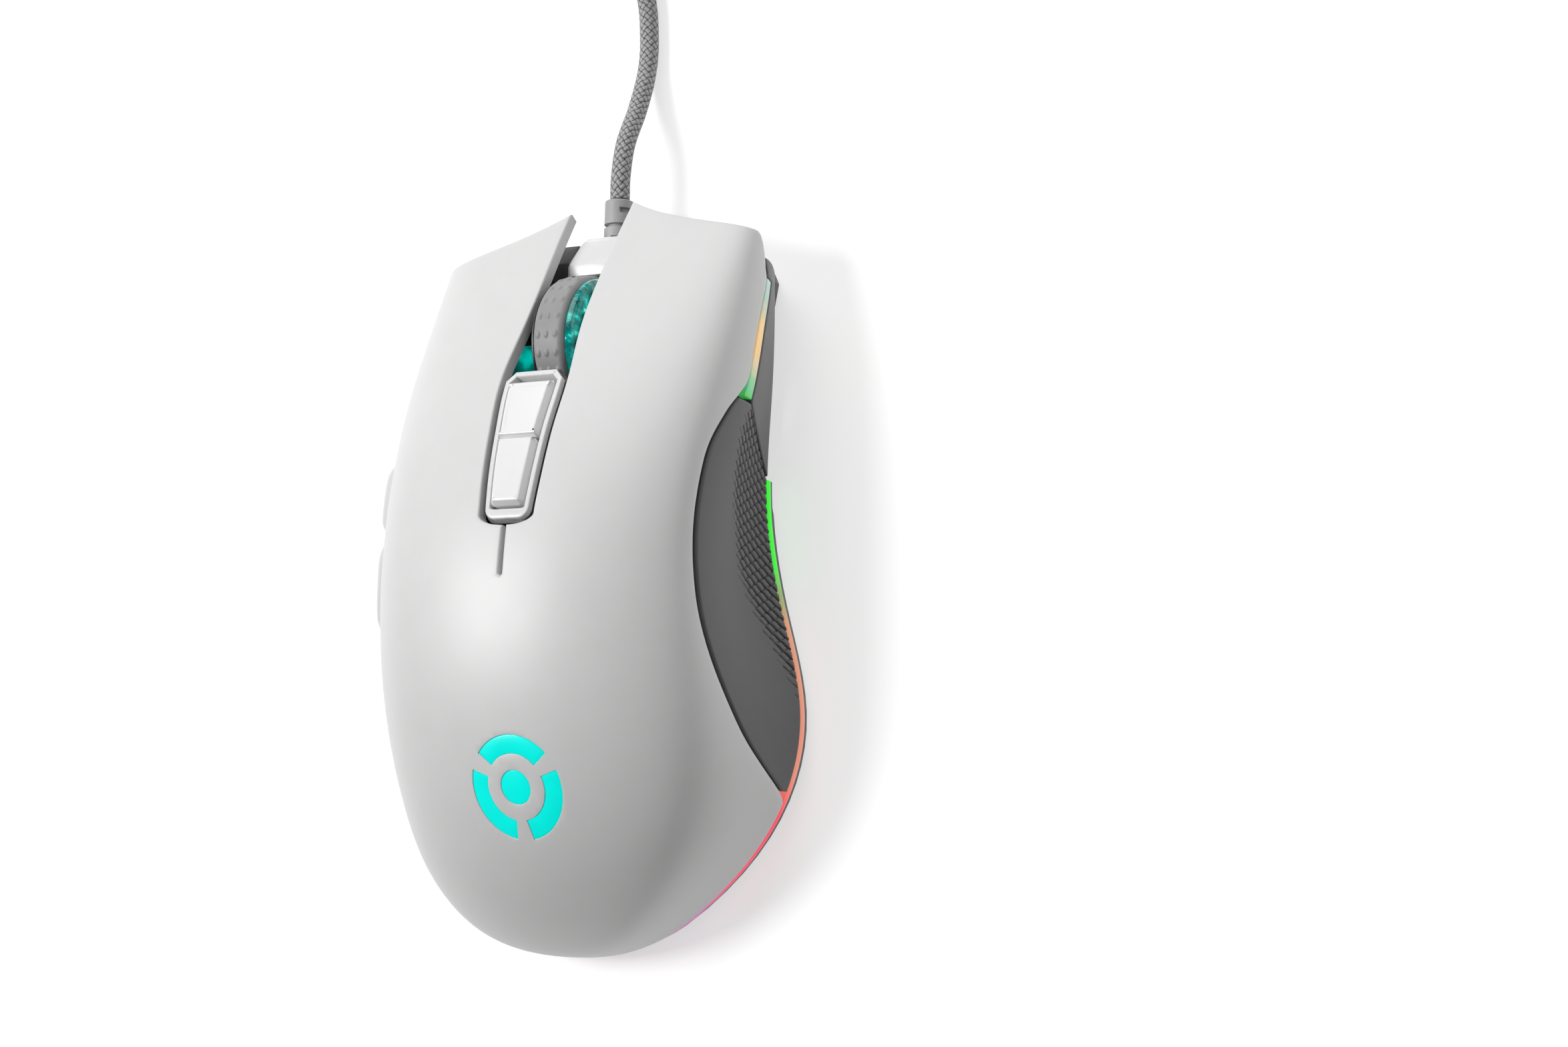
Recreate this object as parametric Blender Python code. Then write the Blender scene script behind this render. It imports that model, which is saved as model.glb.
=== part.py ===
"""A wired, right-handed ergonomic computer mouse, built as the pieces it comes apart into.

Frame: +Z up, +Y towards the nose and the cable, +X to the right-hand side of the user.
The origin is on the desk, under the middle of the mouse without its free cable.
Lengths below are in millimetres, and make_object() turns them into metres.
"""
import math

import bmesh
import bpy
import numpy as np
from mathutils import Vector

MM = 0.001
GAP = 0.3                       # clearance between neighbouring solids

# ---- outer skin ----------------------------------------------------------------------------
SKIN_BASE_Z = 4.2               # lower edge of the skin, above light guide and base
SHELL_THICKNESS = 2.0
TAIL_X = -6.0                   # where the plan outline closes at the rear
# One line per cross-section, from nose to tail. A section is given by y, then by x, z pairs for
# the lower wall, side, shoulder and top on the left, the crown, and the same on the right.
# foot_l and foot_r are the x of its two lower edges.
SECTIONS = [
    # y     foot_l  lower_l       side_l         shoulder_l     top_l          crown
    #               top_r         shoulder_r     side_r         lower_r        foot_r
    (68.0, -26.0, (-28.0, 7.0), (-29.0, 8.5), (-27.0, 10.5), (-14.0, 11.0), (0.0, 11.0),
     (14.0, 11.0), (27.0, 10.5), (29.0, 8.5), (28.0, 7.0), 26.0),
    (60.0, -27.0, (-29.5, 9.0), (-31.0, 12.0), (-28.5, 15.5), (-14.0, 16.5), (0.0, 16.5),
     (14.0, 16.5), (29.0, 15.5), (31.5, 12.0), (30.0, 9.0), 27.5),
    (47.0, -27.5, (-30.0, 10.0), (-31.5, 16.0), (-28.5, 22.0), (-14.0, 24.0), (0.0, 24.3),
     (14.0, 24.0), (30.0, 22.0), (33.0, 15.5), (31.0, 9.5), 28.3),
    (30.0, -27.5, (-30.0, 11.5), (-32.5, 19.5), (-31.0, 28.5), (-14.0, 33.2), (0.0, 34.0),
     (14.0, 33.2), (31.0, 28.5), (33.5, 18.5), (30.0, 10.5), 28.5),
    (12.0, -27.0, (-28.5, 12.0), (-33.0, 21.0), (-31.5, 33.0), (-15.0, 38.8), (0.0, 39.6),
     (15.0, 38.8), (30.5, 33.0), (29.5, 20.0), (27.0, 11.0), 27.2),
    (-6.0, -29.0, (-29.0, 12.0), (-33.5, 21.0), (-32.0, 33.5), (-16.0, 40.6), (0.0, 41.6),
     (15.5, 40.4), (30.5, 33.0), (29.5, 20.0), (28.5, 11.0), 31.0),
    (-24.0, -32.0, (-32.0, 12.0), (-33.0, 21.0), (-30.8, 32.0), (-16.0, 38.8), (0.0, 40.2),
     (15.5, 38.6), (30.5, 31.5), (34.0, 20.0), (35.5, 11.0), 37.5),
    (-42.0, -31.5, (-31.5, 11.0), (-31.0, 19.5), (-27.0, 28.0), (-14.5, 33.0), (0.0, 34.3),
     (13.0, 32.8), (26.0, 28.0), (31.0, 20.0), (32.5, 11.0), 32.4),
    (-56.5, -27.0, (-27.0, 9.5), (-26.0, 16.0), (-22.5, 21.5), (-13.0, 24.8), (-2.5, 25.4),
     (7.5, 24.0), (16.5, 20.5), (18.5, 15.0), (19.0, 9.5), 18.6),
    (-64.2, -18.0, (-17.5, 7.0), (-16.0, 10.5), (-13.5, 13.5), (-9.0, 15.0), (-5.5, 15.0),
     (-1.5, 14.0), (2.5, 12.5), (4.5, 9.5), (5.5, 7.0), 6.0),
]
TAIL_Y = SECTIONS[-1][0]

# ---- edges on the skin ---------------------------------------------------------------------
# Lower edge of the right main button, then of the palm shell above the right grip: y, z
RIGHT_EDGE = [(56.0, 18.6), (53.5, 17.4), (51.8, 15.4), (49.5, 13.8), (47.0, 13.1), (41.8, 15.2),
              (35.7, 17.0), (29.5, 18.2), (26.5, 20.8), (23.4, 23.7), (18.0, 27.0), (12.4, 28.6),
              (5.0, 29.6), (-2.5, 29.5), (-10.8, 28.1), (-19.0, 24.7), (-27.0, 19.2),
              (-32.2, 13.3), (-36.5, 6.3), (-37.6, SKIN_BASE_Z)]
LEFT_EDGE = [(56.0, 18.6), (53.5, 17.4), (51.8, 15.4), (49.5, 13.8), (47.0, 13.1), (41.8, 15.2),
             (35.7, 17.2), (29.5, 19.5), (25.0, 22.5), (20.0, 25.6), (14.0, 27.6), (5.0, 28.4),
             (-6.0, 28.3), (-14.0, 26.8), (-22.0, 22.8), (-29.0, 16.6), (-34.0, 9.8),
             (-37.6, SKIN_BASE_Z)]
STRIP_TOP = [(50.0, 11.9), (47.0, 12.2), (41.8, 14.3), (35.7, 16.1), (29.5, 17.4), (26.5, 18.6)]
STRIP_BOTTOM = [(50.0, 8.4), (46.0, 10.2), (39.4, 12.7), (34.2, 13.8), (29.2, 14.7), (26.5, 15.4)]
SEAM = [(26.3, 15.6), (21.3, 9.2), (16.2, 4.9), (15.1, SKIN_BASE_Z)]
PANEL_FRONT_Y = 49.5
STRIP_FRONT_Y = 47.5
GRIP_REAR_Y = -37.0
SLOT_HALF_WIDTH = [(62.5, 5.9), (42.0, 5.5), (29.0, 6.5), (19.5, 6.0), (12.0, 5.6), (6.6, 5.2)]
SLOT_REAR_Y = 5.0
SLIT_HALF_WIDTH = 0.45
SPLIT_Y = -4.6                  # flexure line where each main button turns
BUTTON_TIP = {-1: (51.0, 10.5), 1: (53.7, 8.9)}     # front edge: outer y, then its sweep forward
BUTTON_TIP_DECAY = 11.0         # how fast the sweep fades away from the slot
BUTTON_CORNER = 5.2             # how far the outer front corner is rounded back
EDGE_FRONT_Y = 49.0             # the side edge keeps its share of the section ahead of here
SIDE_BUTTONS = {"side_button_forward": (5.3, 18.2), "side_button_back": (-11.8, 4.9)}
SIDE_BUTTON_LOW_Z = 21.6
SIDE_BUTTON_TOP_GAP = 0.8       # room for the main button above to bend down
SIDE_BUTTON_LIFT = 2.4          # how far they stand out from the wall
EMBLEM_CENTRE = (1.0, -37.3)
EMBLEM_RING = (5.2, 8.2)        # inner and outer radius of the arcs
EMBLEM_DOT = 2.7
EMBLEM_ARCS = 3
EMBLEM_ARC_GAP = 3.0
EMBLEM_CLEARANCE = 0.25

# ---- inside and below ----------------------------------------------------------------------
FOOT_THICKNESS = 0.7
FEET = {                        # centre x, y, then half length along x and y
    "front_foot": (0.0, 47.0, 14.0, 3.6),
    "rear_foot": (-5.5, -55.5, 12.0, 3.6),
    "right_foot": (27.0, -24.0, 3.6, 8.0),
    "left_foot": (-24.5, -24.0, 3.6, 8.0),
}
SCREW_PLACES = [(-19.0, 38.0), (19.0, 38.0), (-18.0, -38.0), (15.0, -38.0)]
SCREW_RADIUS = 1.15
SCREW_HEAD_RADIUS = 2.4
TRAY_BOTTOM_Z = FOOT_THICKNESS + GAP
TRAY_FLOOR_Z = 2.6
TRAY_INSET = ([12.0, 15.0, 44.0, 50.0], [0.85, 2.3, 2.3, 0.4])     # y, and inset from the skin
GUIDE_BOTTOM_Z = 2.0
GUIDE_TOP_Z = SKIN_BASE_Z - GAP
GUIDE_INSET = 0.4               # outer face of the light guide, inward from the skin's edge
GUIDE_WIDTH = 2.3               # its inner face, from the same edge
NOSE_WALL_TOP = 11.6
PCB_Z = 6.4
PCB_THICKNESS = 1.6

BOARD_TOP = PCB_Z + PCB_THICKNESS + GAP
MAIN_SWITCH = (17.0, 41.0)                     # x on the right, y
MAIN_SWITCH_TOP = BOARD_TOP + 6.2 + 0.7
CLICK_SWITCH = (-11.0, 34.0)
CLICK_SWITCH_TOP = BOARD_TOP + 4.0 + 0.5
DPI_BUTTONS = [("dpi_up_button", 19.0, 28.2), ("dpi_down_button", 9.1, 18.6)]
DPI_BOARD_Z = 22.9
DPI_SWITCH_TOP = DPI_BOARD_Z + PCB_THICKNESS + GAP + 3.4 + 0.4

WHEEL_Y = 37.2
WHEEL_Z = 17.4
WHEEL_RADIUS = 12.0
TYRE_X = (-3.5, 3.0)
HUB_FACE_X = 4.4                # how far the hub's bright rim stands out on the right
AXLE_RADIUS = 1.2
AXLE_X = (-7.6, 9.4)
BEARING_CLEARANCE = 0.25

RELIEF_Z = 9.4
RELIEF_RADIUS = 2.55
RELIEF_FRONT_Y = 64.35

CABLE_DIAMETER = 3.4
COIL_CENTRE = (8.0, 141.0)
COIL_INNER = 13.2
COIL_OUTER = 27.2
COIL_HEIGHT = 13.4
PLUG_X = 44.2
PLUG_Z = 4.3


# ---- materials -----------------------------------------------------------------------------
def material(name, colour, roughness, metallic=0.0, emission=None):
    """A Principled BSDF material with one colour."""
    made = bpy.data.materials.new(name)
    made.use_nodes = True
    shader = made.node_tree.nodes["Principled BSDF"]
    shader.inputs["Base Color"].default_value = (*colour, 1.0)
    shader.inputs["Roughness"].default_value = roughness
    shader.inputs["Metallic"].default_value = metallic
    if emission is not None:
        shader.inputs["Emission Color"].default_value = (*emission, 1.0)
        shader.inputs["Emission Strength"].default_value = 1.0
    made.diffuse_color = (*colour, 1.0)
    return made


def make_materials():
    """Every finish of the mouse, by a short name."""
    return {
        "white": material("white_satin", (0.80, 0.80, 0.79), 0.42),
        "white_gloss": material("white_gloss", (0.86, 0.86, 0.86), 0.15),
        "grey": material("dark_grey_matte", (0.085, 0.085, 0.088), 0.62),
        "rubber": material("wheel_rubber", (0.30, 0.30, 0.30), 0.70),
        "relief": material("relief_rubber", (0.34, 0.34, 0.34), 0.60),
        "teal": material("teal_clear", (0.00, 0.45, 0.40), 0.10, 0.0, (0.0, 0.35, 0.30)),
        "light": material("light_guide", (0.75, 0.80, 0.75), 0.30, 0.0, (0.3, 0.5, 0.2)),
        "cyan": material("emblem_cyan", (0.00, 0.78, 0.70), 0.30, 0.0, (0.0, 0.8, 0.7)),
        "black": material("black_plastic", (0.03, 0.03, 0.03), 0.45),
        "board": material("circuit_board", (0.02, 0.16, 0.08), 0.50),
        "steel": material("steel", (0.62, 0.62, 0.63), 0.30, 1.0),
        "glide": material("glide_foot", (0.05, 0.05, 0.05), 0.35),
        "clear": material("clear_lens", (0.80, 0.85, 0.88), 0.05),
        "braid": material("grey_braid", (0.33, 0.33, 0.33), 0.85),
    }


# ---- curves and the skin -------------------------------------------------------------------
def smooth(points, steps=12):
    """Points along a Catmull-Rom curve through the given points."""
    pts = np.array(points, float)
    ext = np.vstack([2 * pts[0] - pts[1], pts, 2 * pts[-1] - pts[-2]])
    t = np.linspace(0.0, 1.0, steps, endpoint=False)[:, None]
    out = []
    for a, b, c, d in zip(ext[:-3], ext[1:-2], ext[2:-1], ext[3:]):
        out.append(0.5 * (2 * b + (c - a) * t + (2 * a - 5 * b + 4 * c - d) * t ** 2
                          + (3 * b - a - 3 * c + d) * t ** 3))
    out.append(pts[-1:])
    return np.vstack(out)


def along(points, y):
    """Second value of a curve given as (y, value) points, at y."""
    curve = smooth(points)
    order = np.argsort(curve[:, 0])
    return np.interp(y, curve[order, 0], curve[order, 1])


def spline_weights(count, t):
    """Weights of a clamped uniform cubic B-spline with count control points, at each t in 0..1."""
    spans = count - 3
    t = np.clip(np.asarray(t, float), 0.0, 1.0) * spans
    knots = np.concatenate([np.zeros(3), np.arange(spans + 1), np.full(3, spans)]).astype(float)
    weights = [((knots[i] <= t) & (t < knots[i + 1])).astype(float) for i in range(len(knots) - 1)]
    weights[count - 1] = np.where(t >= spans, 1.0, weights[count - 1])
    for degree in (1, 2, 3):
        raised = []
        for i in range(len(knots) - 1 - degree):
            left = knots[i + degree] - knots[i]
            right = knots[i + degree + 1] - knots[i + 1]
            value = np.zeros_like(t)
            if left > 0:
                value = value + (t - knots[i]) / left * weights[i]
            if right > 0:
                value = value + (knots[i + degree + 1] - t) / right * weights[i + 1]
            raised.append(value)
        weights = raised
    return np.stack(weights[:count], -1)


class Skin:
    """The mouse's outer surface: u runs from nose to tail, v from left foot to right foot."""

    def __init__(self):
        rows = []
        for section in SECTIONS:
            y, foot_l, *middle, foot_r = section
            xz = [(foot_l, SKIN_BASE_Z), *middle, (foot_r, SKIN_BASE_Z)]
            rows.append([(x, y, z) for x, z in xz])
        rows.append([(TAIL_X, TAIL_Y, SKIN_BASE_Z)] * len(rows[0]))
        self.net = np.array(rows)
        self.u_table = np.linspace(0.0, 1.0, 1201)
        self.y_table = spline_weights(len(rows), self.u_table) @ self.net[:, 0, 1]

    def point(self, u, v):
        """Points of the surface; u and v broadcast."""
        u, v = np.broadcast_arrays(np.asarray(u, float), np.asarray(v, float))
        wu = spline_weights(self.net.shape[0], u)
        wv = spline_weights(self.net.shape[1], v)
        return np.einsum("...i,...j,ijk->...k", wu, wv, self.net)

    def normal(self, u, v, step=1e-4):
        """Outward unit normals."""
        u, v = np.broadcast_arrays(np.asarray(u, float), np.asarray(v, float))
        u = np.minimum(u, 1.0 - 2 * step)
        v0 = np.clip(v - step, 0.0, 1.0)
        v1 = np.clip(v + step, 0.0, 1.0)
        du = self.point(u + step, v) - self.point(u - step, v)
        dv = self.point(u, v1) - self.point(u, v0)
        cross = np.cross(du, dv)
        return cross / np.linalg.norm(cross, axis=-1, keepdims=True)

    def u_at(self, y):
        """u of the section at y."""
        return np.interp(-np.asarray(y, float), -self.y_table, self.u_table)

    def v_top(self, u, x):
        """v of the point with this x on the upper side of the section at u."""
        v = np.linspace(0.25, 0.75, 301)
        return np.interp(x, self.point(u, v)[:, 0], v)

    def v_side(self, u, z, side):
        """v of the point with this z on the left (side -1) or right (side 1) wall at u."""
        v = np.linspace(0.0, 0.47, 301) if side < 0 else np.linspace(1.0, 0.53, 301)
        return np.interp(z, self.point(u, v)[:, 2], v)


SKIN = Skin()


# ---- mesh helpers --------------------------------------------------------------------------
def make_object(name, verts, faces, finish, sharp=40.0):
    """An object from millimetre vertices, with its normals made to point out."""
    mesh = bpy.data.meshes.new(name)
    mesh.from_pydata([tuple(float(c) * MM for c in p) for p in verts], [], faces)
    bm = bmesh.new()
    bm.from_mesh(mesh)
    bmesh.ops.remove_doubles(bm, verts=bm.verts, dist=1e-7)
    bmesh.ops.dissolve_degenerate(bm, edges=bm.edges, dist=1e-7)
    bmesh.ops.recalc_face_normals(bm, faces=bm.faces)
    bm.to_mesh(mesh)
    bm.free()
    mesh.shade_smooth()
    mesh.set_sharp_from_angle(angle=math.radians(sharp))
    made = bpy.data.objects.new(name, mesh)
    made.data.materials.append(finish)
    bpy.context.scene.collection.objects.link(made)
    return made


def sheet(name, u, v, finish, outer=0.0, inner=SHELL_THICKNESS, floor=SKIN_BASE_Z):
    """A shell over the skin: a grid of (u, v), raised by outer and hollowed to inner below it."""
    point = SKIN.point(u, v)
    normal = SKIN.normal(u, v)
    outer = np.broadcast_to(outer, u.shape)[..., None]
    top = point + normal * outer
    low = point - normal * inner
    low[..., 2] = np.maximum(low[..., 2], floor)
    top[..., 2] = np.maximum(top[..., 2], floor)
    return closed_sheet(name, top, low, finish)


def closed_sheet(name, top, low, finish):
    """A closed solid between two grids of points of the same size."""
    rows, cols = top.shape[:2]
    verts = list(top.reshape(-1, 3)) + list(low.reshape(-1, 3))
    second = rows * cols

    def at(i, j):
        return i * cols + j

    faces = []
    for i in range(rows - 1):
        for j in range(cols - 1):
            quad = (at(i, j), at(i, j + 1), at(i + 1, j + 1), at(i + 1, j))
            faces.append(quad)
            faces.append(tuple(second + k for k in reversed(quad)))
    rim = [at(0, j) for j in range(cols)]
    rim += [at(i, cols - 1) for i in range(1, rows)]
    rim += [at(rows - 1, j) for j in range(cols - 2, -1, -1)]
    rim += [at(i, 0) for i in range(rows - 2, 0, -1)]
    for a, b in zip(rim, rim[1:] + rim[:1]):
        faces.append((a, second + a, second + b, b))
    return make_object(name, verts, faces, finish)


def prism(name, outline, z0, z1, finish):
    """An upright prism over an outline of (x, y) points."""
    count = len(outline)
    verts = [(x, y, z0) for x, y in outline] + [(x, y, z1) for x, y in outline]
    faces = [tuple(range(count)), tuple(range(2 * count - 1, count - 1, -1))]
    for i in range(count):
        j = (i + 1) % count
        faces.append((i, j, count + j, count + i))
    return make_object(name, verts, faces, finish)


def band(name, outer, inner, z0, z1, finish):
    """An upright band between two open runs of (x, y) points of equal length."""
    return prism(name, list(outer) + list(inner)[::-1], z0, z1, finish)


def box(name, low, high, finish, bevel=0.0):
    """A box between two corners, with its edges rounded by a Bevel modifier."""
    (x0, y0, z0), (x1, y1, z1) = low, high
    made = prism(name, [(x0, y0), (x1, y0), (x1, y1), (x0, y1)], z0, z1, finish)
    if bevel:
        rounding = made.modifiers.new("rounding", "BEVEL")
        rounding.width = bevel * MM
        rounding.segments = 2
        rounding.limit_method = "ANGLE"
    return made


def turned(name, profile, centre, axis, finish, segments=32, turn_edges=40.0):
    """A solid of revolution. profile holds (radius, distance along axis) and closes on itself,
    or starts and ends on the axis."""
    count = len(profile)
    direction = Vector(axis).normalized()
    frame = direction.to_track_quat("Z", "Y").to_matrix()
    verts = []
    for k in range(segments):
        angle = 2 * math.pi * k / segments
        for r, h in profile:
            local = Vector((r * math.cos(angle), r * math.sin(angle), h))
            verts.append(Vector(centre) + frame @ local)
    faces = []
    for k in range(segments):
        nxt = (k + 1) % segments
        for i in range(count):
            j = (i + 1) % count
            if profile[i][0] == 0.0 and profile[j][0] == 0.0:
                continue
            faces.append((k * count + i, k * count + j, nxt * count + j, nxt * count + i))
    return make_object(name, verts, faces, finish, turn_edges)


def rod(name, radius, start, end, finish, segments=24):
    """A round rod between two points."""
    start, end = Vector(start), Vector(end)
    length = (end - start).length
    profile = [(0.0, 0.0), (radius, 0.0), (radius, length), (0.0, length)]
    return turned(name, profile, start, end - start, finish, segments)


def combine(target, tools, operation):
    """Apply tools to target with exact booleans; the tools stay as hidden guides."""
    for tool in tools:
        cut = target.modifiers.new(tool.name, "BOOLEAN")
        cut.operation = operation
        cut.solver = "EXACT"
        cut.object = tool
        tool.hide_render = True
        tool.display_type = "WIRE"
    return target


def offset_outline(points, distance):
    """Move an anticlockwise outline of (x, y) inwards by distance, one value or one per point."""
    pts = np.array(points, float)
    edge = np.roll(pts, -1, axis=0) - np.roll(pts, 1, axis=0)
    inward = np.stack([-edge[:, 1], edge[:, 0]], 1)
    inward /= np.linalg.norm(inward, axis=1, keepdims=True)
    return pts + inward * np.reshape(distance, (-1, 1))


# ---- outlines ------------------------------------------------------------------------------
def base_outline(step=3.0):
    """Plan outline of the base, anticlockwise from above, starting at the tail."""
    front_y = 46.0                  # where the sides end and the rounded nose begins
    y = np.arange(front_y, TAIL_Y + 5.0, -step)
    u = np.concatenate([SKIN.u_at(y), np.linspace(SKIN.u_at(TAIL_Y + 4.0), 1.0, 9)])
    right = SKIN.point(u, 1.0)[:, :2]
    left = SKIN.point(u, 0.0)[:, :2]
    half_width, reach, squareness = 28.0, 11.0, 0.62
    front = []
    for k in range(1, 20):
        angle = math.pi * (k / 20 - 0.5)
        front.append((half_width * math.sin(angle),
                      front_y + reach * math.cos(angle) ** squareness))
    # each side runs from nose to tail, so the right one is turned round
    outline = list(map(tuple, right[::-1])) + [tuple(p) for p in front[::-1]]
    outline += list(map(tuple, left[:-1]))
    return outline


# ---- shells --------------------------------------------------------------------------------
def slot_half_width(y):
    """Half the width of the gap between the main buttons: slot, then a rounded end, then slit."""
    wide = along(SLOT_HALF_WIDTH, y)
    round_end = np.clip((y - SLOT_REAR_Y + 0.9) / 1.8, 0.0, 1.0)
    return SLIT_HALF_WIDTH + (wide - SLIT_HALF_WIDTH) * np.sqrt(1.0 - (1.0 - round_end) ** 2)


def add_main_button(name, side, finish):
    """One main button: the skin from the slot to the side edge, ahead of the flexure line."""
    edge = RIGHT_EDGE if side > 0 else LEFT_EDGE
    rows = np.concatenate([np.linspace(0.0, 0.127, 4)[:-1], 0.127 + 0.029 * np.linspace(0, 1, 6) ** 2,
                           np.linspace(0.156, 1.0, 14)[1:]])
    cols = 1.0 - (1.0 - np.linspace(0.0, 1.0, 13)) ** 1.3
    u = np.zeros((len(rows), len(cols)))
    v = np.zeros_like(u)
    for j, across in enumerate(cols):
        from_slot = 0.9 + 24.5 * across
        outer_y, sweep = BUTTON_TIP[side]
        tip = outer_y + sweep * math.exp(-from_slot / BUTTON_TIP_DECAY)
        tip -= BUTTON_CORNER * max(0.0, (across - 0.8) / 0.2) ** 2
        for i, forward in enumerate(rows):
            y = SPLIT_Y + GAP + (tip - SPLIT_Y - GAP) * forward
            uu = SKIN.u_at(y)
            inner = SKIN.v_top(uu, side * slot_half_width(y))
            edge_y = min(y, EDGE_FRONT_Y)
            outer = SKIN.v_side(SKIN.u_at(edge_y), along(edge, edge_y), side)
            u[i, j] = uu
            v[i, j] = inner + (outer - inner) * across
    button = sheet(name, u, v, finish)
    px, py = side * MAIN_SWITCH[0], MAIN_SWITCH[1]
    post = box(name + "_post", (px - 1.5, py - 1.5, MAIN_SWITCH_TOP + 0.7),
               (px + 1.5, py + 1.5, 24.5), finish)
    return combine(button, [post], "UNION")


def add_palm_shell(finish):
    """The fixed rear of the top shell, from the flexure line round the tail."""
    front_u = SKIN.u_at(SPLIT_Y)
    lean_u = SKIN.u_at(GRIP_REAR_Y - 1.0)
    u_rows = np.concatenate([np.linspace(front_u, lean_u, 10), np.linspace(lean_u, 1.0, 13)[1:]])
    across = np.linspace(0.0, 1.0, 27)
    u = np.repeat(u_rows[:, None], len(across), axis=1)
    v = np.zeros_like(u)
    for i, uu in enumerate(u_rows):
        y = SKIN.point(uu, 0.5)[1]
        low, high = 0.0, 1.0
        if y > GRIP_REAR_Y - 0.6:
            low = SKIN.v_side(uu, along(LEFT_EDGE, y), -1)
            high = SKIN.v_side(uu, along(RIGHT_EDGE, y), 1)
        v[i] = low + (high - low) * across
    return sheet("palm_shell", u, v, finish)


def side_patch(name, side, y_values, low_z, high_z, finish, across=7, **thickness):
    """A strip of the side wall between two heights, each a function of y."""
    u = np.zeros((len(y_values), across))
    v = np.zeros_like(u)
    for i, y in enumerate(y_values):
        uu = SKIN.u_at(y)
        low = SKIN.v_side(uu, low_z(y), side)
        high = SKIN.v_side(uu, high_z(y), side)
        u[i] = uu
        v[i] = np.linspace(low, high, across)
    return sheet(name, u, v, finish, **thickness)


def right_grip_top(y):
    return along(RIGHT_EDGE, y) - 0.55


def left_grip_top(y):
    """The thumb rest stops below the two side buttons."""
    edge = along(LEFT_EDGE, y) - 0.55
    return np.minimum(edge, SIDE_BUTTON_LOW_Z - GAP - 0.1)


def seam_z(y):
    return along(SEAM, y) if y > SEAM[-1][0] else SKIN_BASE_Z


def add_grips(finish):
    """Rubbery side panels and the smooth panels ahead of them, mirrored left and right."""
    y_rows = np.linspace(26.0, GRIP_REAR_Y + 0.6, 20)
    for side, word, top in ((1, "right", right_grip_top), (-1, "left", left_grip_top)):
        side_patch(word + "_grip", side, y_rows, lambda y: seam_z(y) + 0.2, top, finish["grey"],
                   across=7, inner=2.2)
        panel_rows = np.linspace(PANEL_FRONT_Y, 16.0, 14)
        side_patch(word + "_front_panel", side, panel_rows, lambda y: SKIN_BASE_Z,
                   lambda y: panel_top(y), finish["grey"], across=5, inner=2.0)
        strip_rows = np.linspace(STRIP_FRONT_Y, 27.2, 12)
        side_patch(word + "_light_strip", side, strip_rows,
                   lambda y: along(STRIP_BOTTOM, y) + GAP, lambda y: along(STRIP_TOP, y),
                   finish["light"], across=3, inner=1.8)


def panel_top(y):
    """The front panel stops at the light strip, then at the seam of the grip."""
    if y > 26.3:
        return along(STRIP_BOTTOM, y) - 0.1
    return along(SEAM, y) - 0.25


def add_side_buttons(finish):
    """Two thumb buttons that stand proud of the left wall."""
    for name, (rear, front) in SIDE_BUTTONS.items():
        y_rows = np.linspace(front, rear, 11)
        across = 7
        lift = np.zeros((len(y_rows), across))
        for i in range(len(y_rows)):
            for j in range(across):
                round_y = 1.0 - abs(2 * i / (len(y_rows) - 1) - 1) ** 4
                round_z = 1.0 - abs(2 * j / (across - 1) - 1) ** 4
                lift[i, j] = 0.2 + SIDE_BUTTON_LIFT * round_y * round_z
        side_patch(name, -1, y_rows, lambda y: SIDE_BUTTON_LOW_Z,
                   lambda y: along(LEFT_EDGE, y) - SIDE_BUTTON_TOP_GAP, finish, across=across,
                   outer=lift, inner=2.6)


# ---- controls on the centre line -----------------------------------------------------------
def centre_patch(name, x_half, y0, y1, finish, outer, inner, rows=9, cols=5, corner=0.0):
    """A block that follows the crown of the skin between two y values."""
    y_rows = np.linspace(y1, y0, rows)
    u = np.zeros((rows, cols))
    v = np.zeros_like(u)
    for i, y in enumerate(y_rows):
        uu = SKIN.u_at(y)
        half = x_half(y) if callable(x_half) else x_half
        if corner:
            inset = max(0.0, corner - (y - y0))
            half -= corner - math.sqrt(max(0.0, corner ** 2 - inset ** 2))
        u[i] = uu
        v[i] = [SKIN.v_top(uu, x) for x in np.linspace(-half, half, cols)]
    return sheet(name, u, v, finish, outer=outer, inner=inner, floor=0.0)


def add_dpi_controls(finish):
    """The gloss bezel with its window, and the two sensitivity buttons in it."""
    bezel = centre_patch("dpi_bezel", lambda y: along(SLOT_HALF_WIDTH, y) - 0.5, 6.6, 30.2,
                         finish["white_gloss"], 0.3, 3.0, rows=15, cols=9, corner=1.6)
    window = box("dpi_window", (-3.6, 8.2, 25.0), (3.6, 28.8, 45.0), finish["white_gloss"])
    combine(bezel, [window], "DIFFERENCE")
    for name, rear, front in DPI_BUTTONS:
        middle = (rear + front) / 2
        cap = centre_patch(name, 3.2, rear, front, finish["white_gloss"], 1.3, 3.2, rows=6, cols=5)
        crown = float(SKIN.point(SKIN.u_at(middle), 0.5)[2])
        stem = box(name + "_stem", (-1.2, middle - 1.2, DPI_SWITCH_TOP + 0.9),
                   (1.2, middle + 1.2, crown - 1.5), finish["white_gloss"])
        combine(cap, [stem], "UNION")


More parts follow.
